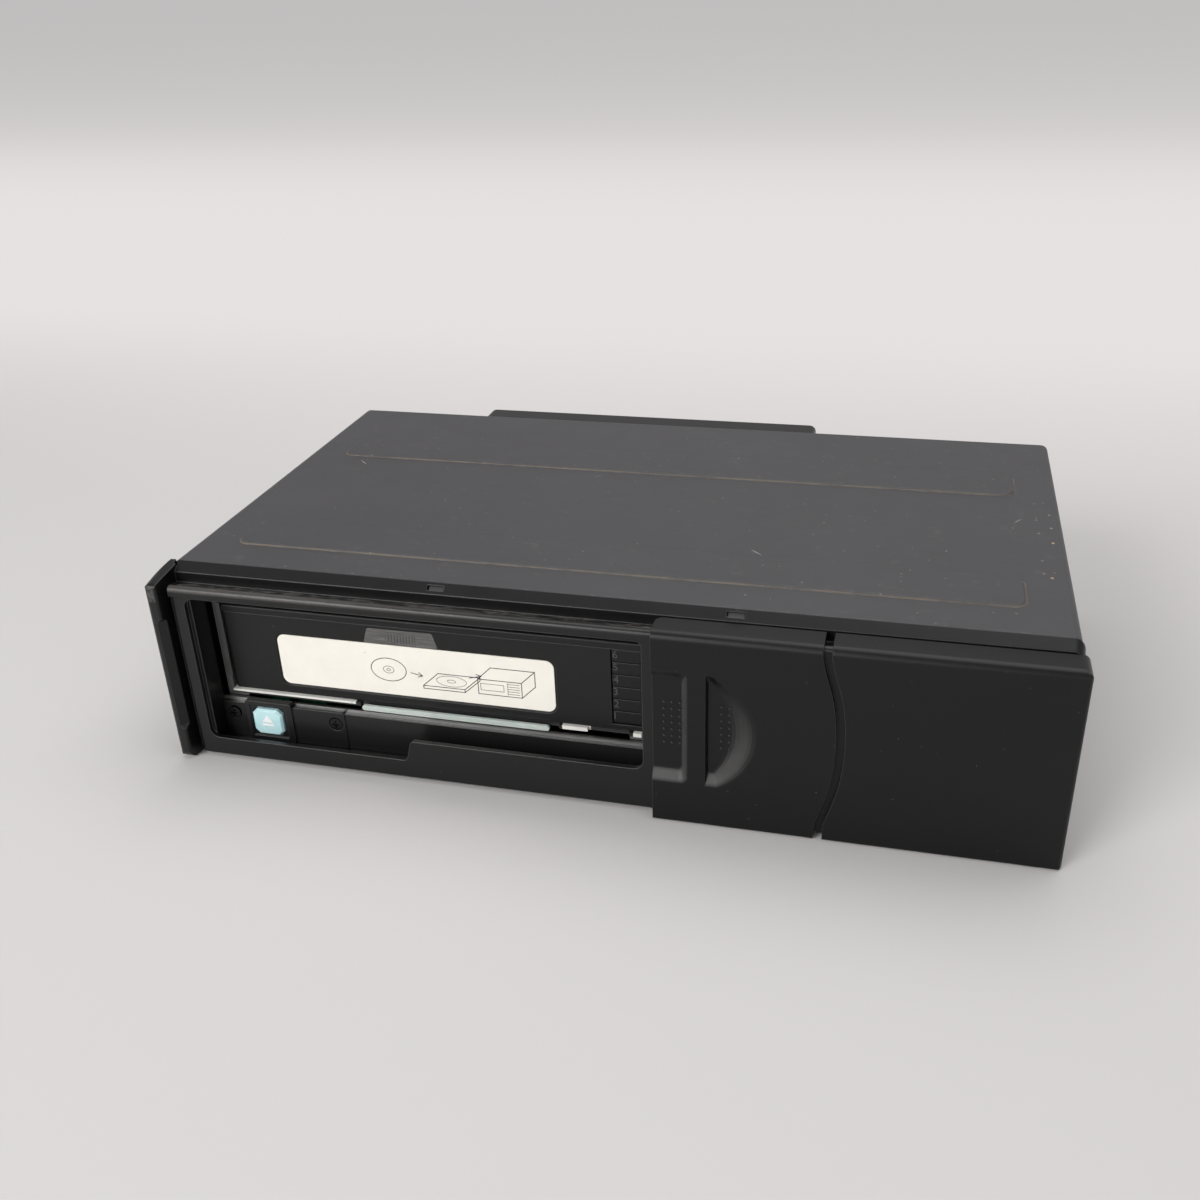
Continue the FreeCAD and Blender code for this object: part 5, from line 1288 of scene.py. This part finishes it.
@dataclass
class TrayNumbers:
    """Raised numbers on the trays' front tabs, one on each tray."""

    left: float = 6.5 * MM
    rise: float = 0.45 * MM
    height: float = 2.3 * MM
    proud: float = 0.2 * MM
    sunk: float = 0.1  # share of the relief that is below the face
    thickness: float = 1.0  # half the letter's depth before it is scaled
    merge_gap: float = 0.0005  # corners nearer than this are one, at the letter's own size

    def number(self, value: int) -> None:
        """Model one number and fix it to its tray.

        Args:
            value: The tray's number.
        """
        low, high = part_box("disc_tray_%d" % value)
        Bench.clear()
        bpy.ops.object.text_add(rotation=UPRIGHT)
        text = bpy.context.object
        text.data.body = str(value)
        text.data.extrude = self.thickness
        bpy.ops.object.convert(target="MESH")
        digit = bpy.context.object
        Bench.pick_faces(digit, lambda normal: True)
        bpy.ops.mesh.remove_doubles(threshold=self.merge_gap)
        bpy.ops.mesh.normals_make_consistent(inside=False)
        Bench.done(digit, None)
        size = digit.dimensions
        scale = self.height / size.y
        digit.scale = (scale, scale, self.proud / size.z)
        Bench.settle(digit, "tray_number_%d" % value)
        middle = 0.5 * (low.z + high.z) + self.rise
        Bench.place(digit, (self.left, low.y + self.sunk * self.proud, middle))
        Bench.dress(digit, Finishes.DIGIT, "tray_%d" % value)

    def build(self) -> None:
        """Build all the numbers."""
        for value in range(1, TRAYS + 1):
            self.number(value)


@dataclass
class PushTabRidges:
    """Raised ridges in a shallow frame in the middle of the magazine's push tab."""

    ridge: float = 0.42 * MM
    height: float = 2.7 * MM
    proud: float = 0.16 * MM
    sunk: float = 0.3  # share of the relief that is below the face
    rounding: float = 0.3  # share of the relief that is rounded
    border: float = 0.22 * MM
    border_proud: float = 0.6  # height of the frame as a share of the ridges'
    margin: float = 2.2  # from the frame's outside to the first ridge, in widths of the frame
    count: int = 9
    middle: Pair = (-57.5 * MM, 42.85 * MM)
    half: Pair = (4.7 * MM, 1.75 * MM)

    def bars(self, face: float) -> list[Piece]:
        """Model one ridge and copy it along the tab.

        Args:
            face: Place of the tab's face.

        Returns:
            The ridges.
        """
        x, z = self.middle
        step = 2.0 * (self.half[0] - self.margin * self.border) / self.count
        first = x - 0.5 * step * (self.count - 1)
        bar = Bench.block(
            "ridge", (first - 0.5 * self.ridge, face - self.proud, z - 0.5 * self.height),
            (first + 0.5 * self.ridge, face + self.sunk * self.proud, z + 0.5 * self.height))
        Bench.pick_faces(bar, lambda normal: normal.y < -FACING)
        bpy.ops.mesh.bevel(offset=self.rounding * self.proud, segments=2, affect="EDGES")
        Bench.done(bar)
        shifts = [(number * step, 0.0, 0.0) for number in range(1, self.count)]
        return [bar] + [Bench.copy(bar, shift) for shift in shifts]

    def rim(self, face: float) -> Piece:
        """Model the frame round the ridges.

        Args:
            face: Place of the tab's face.

        Returns:
            The frame.
        """
        x, z = self.middle
        rim = Bench.block(
            "border", (x - self.half[0], face - self.border_proud * self.proud, z - self.half[1]),
            (x + self.half[0], face + self.sunk * self.proud, z + self.half[1]))
        Bench.pick_faces(rim, lambda normal: abs(normal.y) > FACING)
        bpy.ops.mesh.inset(thickness=self.border, use_individual=True)
        bpy.ops.mesh.bridge_edge_loops()
        Bench.done(rim)
        return rim

    def build(self) -> None:
        """Build the ridges and their frame and fix them to the magazine."""
        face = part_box("magazine_push_tab")[0].y
        pieces = self.bars(face) + [self.rim(face)]
        Bench.dress(Bench.merge(pieces, "push_tab_ridges"), Finishes.TAB, "magazine")


@dataclass
class EjectMark:
    """White triangle over a bar on the eject button."""

    half_width: float = 1.95 * MM
    base_z: float = 11.0 * MM
    tip_z: float = 13.6 * MM
    bar: Pair = (9.75 * MM, 10.55 * MM)
    proud: float = 0.1 * MM
    half_depth: float = 0.7  # half the thickness as a share of the height
    rounding: float = 0.05 * MM
    radii_high: float = 1.5  # height of an even triangle in radii of its circle

    def triangle(self, x: float, face: float) -> Piece:
        """Model the triangle, point up.

        Args:
            x: Middle of the button.
            face: Place of the button's face.

        Returns:
            The triangle.
        """
        radius = (self.tip_z - self.base_z) / self.radii_high
        depth = 2.0 * self.half_depth * self.proud
        made = Bench.disc("triangle", (x, face, self.tip_z - radius), radius, depth, 3)
        spots = [vertex.co.copy() for vertex in made.data.vertices]
        top = max(spot.z for spot in spots)
        spread = max(spot.x for spot in spots) - x
        Bench.pick_faces(made, lambda normal: True)
        bpy.ops.transform.resize(value=(self.half_width / spread, 1.0, 1.0),
                                 center_override=(x, face, top))
        Bench.done(made, None)
        return made

    def build(self) -> None:
        """Build the mark and fix it to the button."""
        low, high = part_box("eject_button")
        x, face = 0.5 * (low.x + high.x), low.y
        half_depth = self.half_depth * self.proud
        triangle = self.triangle(x, face)
        bar = Bench.block("bar", (x - self.half_width, face - half_depth, self.bar[0]),
                          (x + self.half_width, face + half_depth, self.bar[1]))
        mark = Bench.merge([triangle, bar], "eject_mark")
        Bench.bevel(mark, self.rounding, 2)
        Bench.dress(mark, Finishes.MARK, "button")


@dataclass
class LabelPrint:
    """Thin line drawing on the magazine's label: a disc, a tray and a magazine, with arrows."""

    line: float = 0.24 * MM
    thin: float = 0.15 * MM
    proud: float = 0.02 * MM
    oval_sides: int = 40
    # The drawing is in millimetres from the label's corner. A slab is its corner, front and run.
    barb: Pair = (1.3, 0.8)
    disc: Pair = (35.5, 8.6)
    disc_rings: tuple[Pair, Pair, Pair] = ((5.6, 3.9), (1.7, 1.2), (0.6, 0.42))
    to_tray: tuple[Pair, Pair] = ((42.6, 8.3), (46.2, 7.6))
    tray: tuple[Pair, Pair, Pair] = ((46.2, 3.4), (13.0, 1.0), (5.0, 4.6))
    tray_disc: Pair = (55.2, 6.7)
    tray_rings: tuple[Pair, Pair] = ((4.7, 1.8), (1.3, 0.5))
    to_case: tuple[Pair, Pair] = ((61.0, 8.6), (64.6, 9.6))
    case: tuple[Pair, Pair, Pair] = ((63.5, 3.6), (13.4, 5.0), (4.2, 4.2))
    slots: Pair = (72.6, 76.2)  # left and right ends of the lines between trays
    slots_side: Pair = (4.1, 8.1)  # low and high ends of the line that joins them
    window: tuple[Pair, Pair] = ((64.3, 5.0), (71.4, 7.2))
    strokes: list[Piece] = field(default_factory=list)

    def corner(self) -> Vector:
        """Return the label's lower left corner on its face."""
        low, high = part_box("magazine_label")
        return Vector((low.x, low.y, low.z))

    def stroke(self, first: Pair, last: Pair, width: float) -> None:
        """Add one straight line, in millimetres from the label's corner.

        Args:
            first: Start.
            last: End.
            width: Width of the line.
        """
        a, b = Vector(first) * MM, Vector(last) * MM
        run = b - a
        piece = Bench.block("stroke", (-0.5 * (run.length + width), -self.proud, -0.5 * width),
                            (0.5 * (run.length + width), self.proud, 0.5 * width))
        piece.data.transform(Matrix.Rotation(-math.atan2(run.y, run.x), 4, "Y"))
        middle = 0.5 * (a + b)
        piece.data.transform(Matrix.Translation(self.corner() + Vector((middle.x, 0.0, middle.y))))
        self.strokes.append(piece)

    def path(self, points: Sequence[Pair], width: float) -> None:
        """Add a run of lines through points."""
        for first, last in zip(points, points[1:]):
            self.stroke(first, last, width)

    def oval(self, centre: Pair, radii: Pair, width: float) -> None:
        """Add an oval line.

        Args:
            centre: Its middle in millimetres from the label's corner.
            radii: Half its width and height.
            width: Width of the line.
        """
        Bench.clear()
        bpy.ops.mesh.primitive_cylinder_add(vertices=self.oval_sides, radius=1.0, depth=2.0,
                                            rotation=UPRIGHT)
        ring = bpy.context.object
        outer = [radius * MM + 0.5 * width for radius in radii]
        ring.scale = (outer[0], outer[1], self.proud)
        Bench.settle(ring, "oval")
        Bench.pick_faces(ring, lambda normal: abs(normal.y) > FACING)
        bpy.ops.mesh.inset(thickness=width, use_individual=True)
        bpy.ops.mesh.bridge_edge_loops()
        Bench.done(ring)
        place = self.corner() + Vector((centre[0] * MM, 0.0, centre[1] * MM))
        ring.data.transform(Matrix.Translation(place))
        self.strokes.append(ring)

    def slab(self, corner: Pair, front: Pair, run: Pair) -> None:
        """Add a slab drawn in oblique view.

        Args:
            corner: Lower left corner of its front.
            front: Width and height of its front.
            run: Run of its side.
        """
        left, low = corner
        right, high = left + front[0], low + front[1]
        dx, dz = run
        face = [(left, low), (right, low), (right, high), (left, high), (left, low)]
        top = [(left, high), (left + dx, high + dz), (right + dx, high + dz), (right, high)]
        side = [(right + dx, high + dz), (right + dx, low + dz), (right, low)]
        for points in (face, top, side):
            self.path(points, self.line)

    def arrow(self, start: Pair, end: Pair) -> None:
        """Add an arrow with an open head.

        Args:
            start: Its tail.
            end: Its point.
        """
        run = (Vector(end) - Vector(start)).normalized()
        across = Vector((-run.y, run.x))
        self.stroke(start, end, self.line)
        back, out = self.barb
        for side in (-1.0, 1.0):
            barb = Vector(end) - back * run + out * side * across
            self.stroke(tuple(barb), end, self.line)

    def magazine(self) -> None:
        """Add the magazine with its tray slots and window."""
        self.slab(*self.case)
        left, right = self.slots
        for number in range(1, TRAYS):
            height = self.case[0][1] + self.case[1][1] * number / TRAYS
            self.stroke((left, height), (right, height), self.thin)
        self.path([(left, end) for end in self.slots_side], self.thin)
        (x, z), (far_x, far_z) = self.window
        self.path([(x, z), (far_x, z), (far_x, far_z), (x, far_z), (x, z)], self.thin)

    def build(self) -> None:
        """Build the drawing and fix it to the magazine."""
        for radii, width in zip(self.disc_rings, (self.line, self.thin, self.thin)):
            self.oval(self.disc, radii, width)
        self.arrow(*self.to_tray)
        self.slab(*self.tray)
        for radii in self.tray_rings:
            self.oval(self.tray_disc, radii, self.thin)
        self.arrow(*self.to_case)
        self.magazine()
        Bench.dress(Bench.merge(self.strokes, "label_drawing"), Finishes.INK, "magazine")


# --------------------------------------------------------------------------- carried-over nodes
@dataclass
class CarriedNodes:
    """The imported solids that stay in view, with the finish of each."""

    finishes: dict[Finishes, tuple[str, ...]] = field(default_factory=lambda: {
        Finishes.CASE: ("top_cover", "bottom_cover"),
        Finishes.DOOR: ("sliding_door",),
        Finishes.SLOT: ("slot_escutcheon",),
        Finishes.FRONT: ("fascia_cover", "rear_housing",
                         "tilt_dial_left", "tilt_dial_right", "door_shutter"),
        Finishes.FRAME: ("front_bezel",),
        Finishes.GUIDE: ("magazine_guide_left", "magazine_guide_right"),
        Finishes.MAGAZINE: ("magazine_case", "magazine_lid"),
        Finishes.TRAY: tuple("disc_tray_%d" % number for number in range(1, TRAYS + 1)),
        Finishes.LABEL: ("magazine_label",),
        Finishes.TAB: ("magazine_push_tab",),
        Finishes.BUTTON: ("eject_button",),
        Finishes.LIGHT_BAR: ("light_bar",),
        Finishes.SLOT_FLOOR: ("magazine_floor",),
        Finishes.WHITE: ("pickup_sled", "sled_gear", "lift_gear"),
        Finishes.SPRING: ("magazine_detent",),
        Finishes.STEEL: ("mechanism_chassis", "deck_frame", "guide_rods", "lift_posts", "lift_gear_post",
                         "lift_cam", "clamp_bracket", "clamp_pin", "clamp_arm", "mount_nuts",
                         "spindle_motor", "lift_motor", "magazine_roof"),
        Finishes.DARK_STEEL: ("cover_screws", "escutcheon_screws"),
        Finishes.RUBBER: ("rubber_dampers",),
        Finishes.BOARD: ("main_board", "button_board"),
        Finishes.COMPONENT: ("board_components", "rear_connector", "turntable", "clamp_puck"),
        Finishes.BRASS: ("connector_pins",),
        Finishes.LENS: ("pickup_lens",),
    })

    def build(self) -> None:
        """Assign every node's material."""
        for finish, names in self.finishes.items():
            for name in names:
                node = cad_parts[name]
                node.data.materials.clear()
                node.data.materials.append(finish.value.material())
            LOG.info("finish %s on %s", finish.value.name, ", ".join(names))


# --------------------------------------------------------------------------- studio
class Lamp(NamedTuple):
    """Soft rectangular lamp: where it hangs, the point that it faces, its sides and watts."""

    name: str
    place: Point
    aim: Point
    size: Pair
    power: float


@dataclass
class Studio:
    """Pale sweep, soft lights and the camera."""

    eye: Point = (0.08242, -0.35845, 0.21555)
    target: Point = (-0.00892, -0.02546, 0.03692)
    roll: float = -0.038
    lens: float = 36.795
    sensor: float = 36.0
    nearest: float = 0.01
    floor_colour: Colour = (0.60, 0.582, 0.578)
    crumb_colour: Colour = (0.40, 0.39, 0.38)
    crumbs: Flecks = Flecks(60.0, 0.03, 0.05, 0.4)
    far_colour: Colour = (0.79, 0.758, 0.75)
    top_colour: Colour = (0.53, 0.51, 0.515)
    shine_range: Pair = (0.06, 0.45)  # along Y, where the floor turns into the backdrop
    top_range: Pair = (0.75, 2.1)  # along Y, where the backdrop darkens
    floor_size: Point = (40.0, 24.0, 1.0)
    floor_middle: Point = (0.0, -10.6, 0.0)
    back_edge: float = 1.0  # corners behind this place belong to the edge that curves up
    bend_centre: Point = (0.0, 1.4, 1.2)
    bend_steps: int = 24
    wall_height: float = 3.0
    sky: float = 0.4
    lamps: tuple[Lamp, ...] = (
        Lamp("overhead", (0.15, 0.25, 1.1), (0.0, 0.0, 0.0), (1.3, 1.0), 8.5),
        Lamp("key", (-0.62, -1.15, 0.85), (0.0, -0.03, 0.03), (0.6, 0.5), 10.5),
        Lamp("front", (-0.65, -1.6, 0.42), (0.0, -0.05, 0.03), (1.7, 0.75), 10.0),
    )

    def camera(self) -> None:
        """Place the camera."""
        ahead = (Vector(self.target) - Vector(self.eye)).normalized()
        right = ahead.cross(Vector((0, 0, 1))).normalized()
        up = right.cross(ahead)
        across = math.cos(self.roll) * right + math.sin(self.roll) * up
        upward = -math.sin(self.roll) * right + math.cos(self.roll) * up
        turn = Matrix((across, upward, -ahead)).transposed().to_4x4()
        data = bpy.data.cameras.new("camera")
        data.lens = self.lens
        data.sensor_width = self.sensor
        data.clip_start = self.nearest
        camera = bpy.data.objects.new("camera", data)
        camera.matrix_world = Matrix.Translation(self.eye) @ turn
        bpy.context.scene.collection.objects.link(camera)
        bpy.context.scene.camera = camera

    def sweep(self) -> None:
        """Floor that curves up into the backdrop."""
        Bench.clear()
        bpy.ops.mesh.primitive_plane_add(size=1.0, location=self.floor_middle)
        floor = bpy.context.object
        floor.scale = self.floor_size
        Bench.settle(floor, "studio_sweep")
        Bench.pick_edges(floor, lambda end: end.y > self.back_edge)
        bpy.ops.mesh.spin(steps=self.bend_steps, angle=math.radians(-90.0),
                          center=self.bend_centre, axis=(1.0, 0.0, 0.0))
        rise = {"value": (0.0, 0.0, self.wall_height)}
        bpy.ops.mesh.extrude_region_move(TRANSFORM_OT_translate=rise)
        Bench.done(floor)
        LOG.info("sweep reaches %s", tuple(round(side, 2) for side in floor.dimensions))
        floor.data.materials.append(self.sweep_paint())

    def sweep_paint(self) -> bpy.types.Material:
        """Matt floor that turns into an even backdrop for camera and mirror rays.

        Returns:
            The material.
        """
        graph = Graph("studio_sweep")
        crumbs = graph.flecks(self.crumbs)
        tone = graph.coat(self.floor_colour, self.crumb_colour, crumbs, self.crumbs.strength)
        graph.surface(Base_Color=tone, Roughness=0.9, Specular_IOR_Level=0.1)
        far = graph.mix(graph.axis("Y", *self.top_range), self.far_colour, self.top_colour)
        shine = graph.node("Emission")
        graph.fill(shine, Color=far)
        path = graph.node("LightPath")
        seen = path.outputs["Is Camera Ray"]
        for ray in ("Is Glossy Ray", "Is Transmission Ray"):
            seen = graph.maths("MAXIMUM", seen, path.outputs[ray])
        blend = graph.node("MixShader")
        share = graph.times(seen, graph.axis("Y", *self.shine_range))
        sources = (share, graph.shader.outputs["BSDF"], shine.outputs["Emission"])
        for index, source in enumerate(sources):
            graph.feed(blend.inputs[index], source)
        graph.fill(graph.output, Surface=blend.outputs["Shader"])
        return graph.material

    def hang(self, lamp: Lamp) -> None:
        """Add a lamp.

        Args:
            lamp: Its place, aim, size and power.
        """
        data = bpy.data.lights.new(lamp.name, "AREA")
        data.shape = "RECTANGLE"
        data.size, data.size_y = lamp.size
        data.energy = lamp.power
        made = bpy.data.objects.new(lamp.name, data)
        made.location = lamp.place
        made.rotation_mode = "QUATERNION"
        made.rotation_quaternion = (Vector(lamp.aim) - Vector(lamp.place)).to_track_quat("-Z", "Y")
        bpy.context.scene.collection.objects.link(made)

    def world(self) -> None:
        """Even pale sky."""
        world = bpy.data.worlds.new("studio")
        world.use_nodes = True
        sky = world.node_tree.nodes["Background"]
        sky.inputs["Color"].default_value = (1.0, 1.0, 1.0, 1.0)
        sky.inputs["Strength"].default_value = self.sky
        bpy.context.scene.world = world

    def build(self) -> None:
        """Build camera, sweep and lights."""
        self.camera()
        self.sweep()
        self.world()
        for lamp in self.lamps:
            self.hang(lamp)
        bpy.context.scene.view_settings.view_transform = "Standard"


def main() -> None:
    """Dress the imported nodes, add the fine pieces and set the studio."""
    for assembly in (Studio(), CarriedNodes(), GripDots(), TrayNumbers(), PushTabRidges(), EjectMark(),
                     LabelPrint()):
        assembly.build()
        LOG.info("built %s", type(assembly).__name__)


if __name__ == "__main__":
    main()
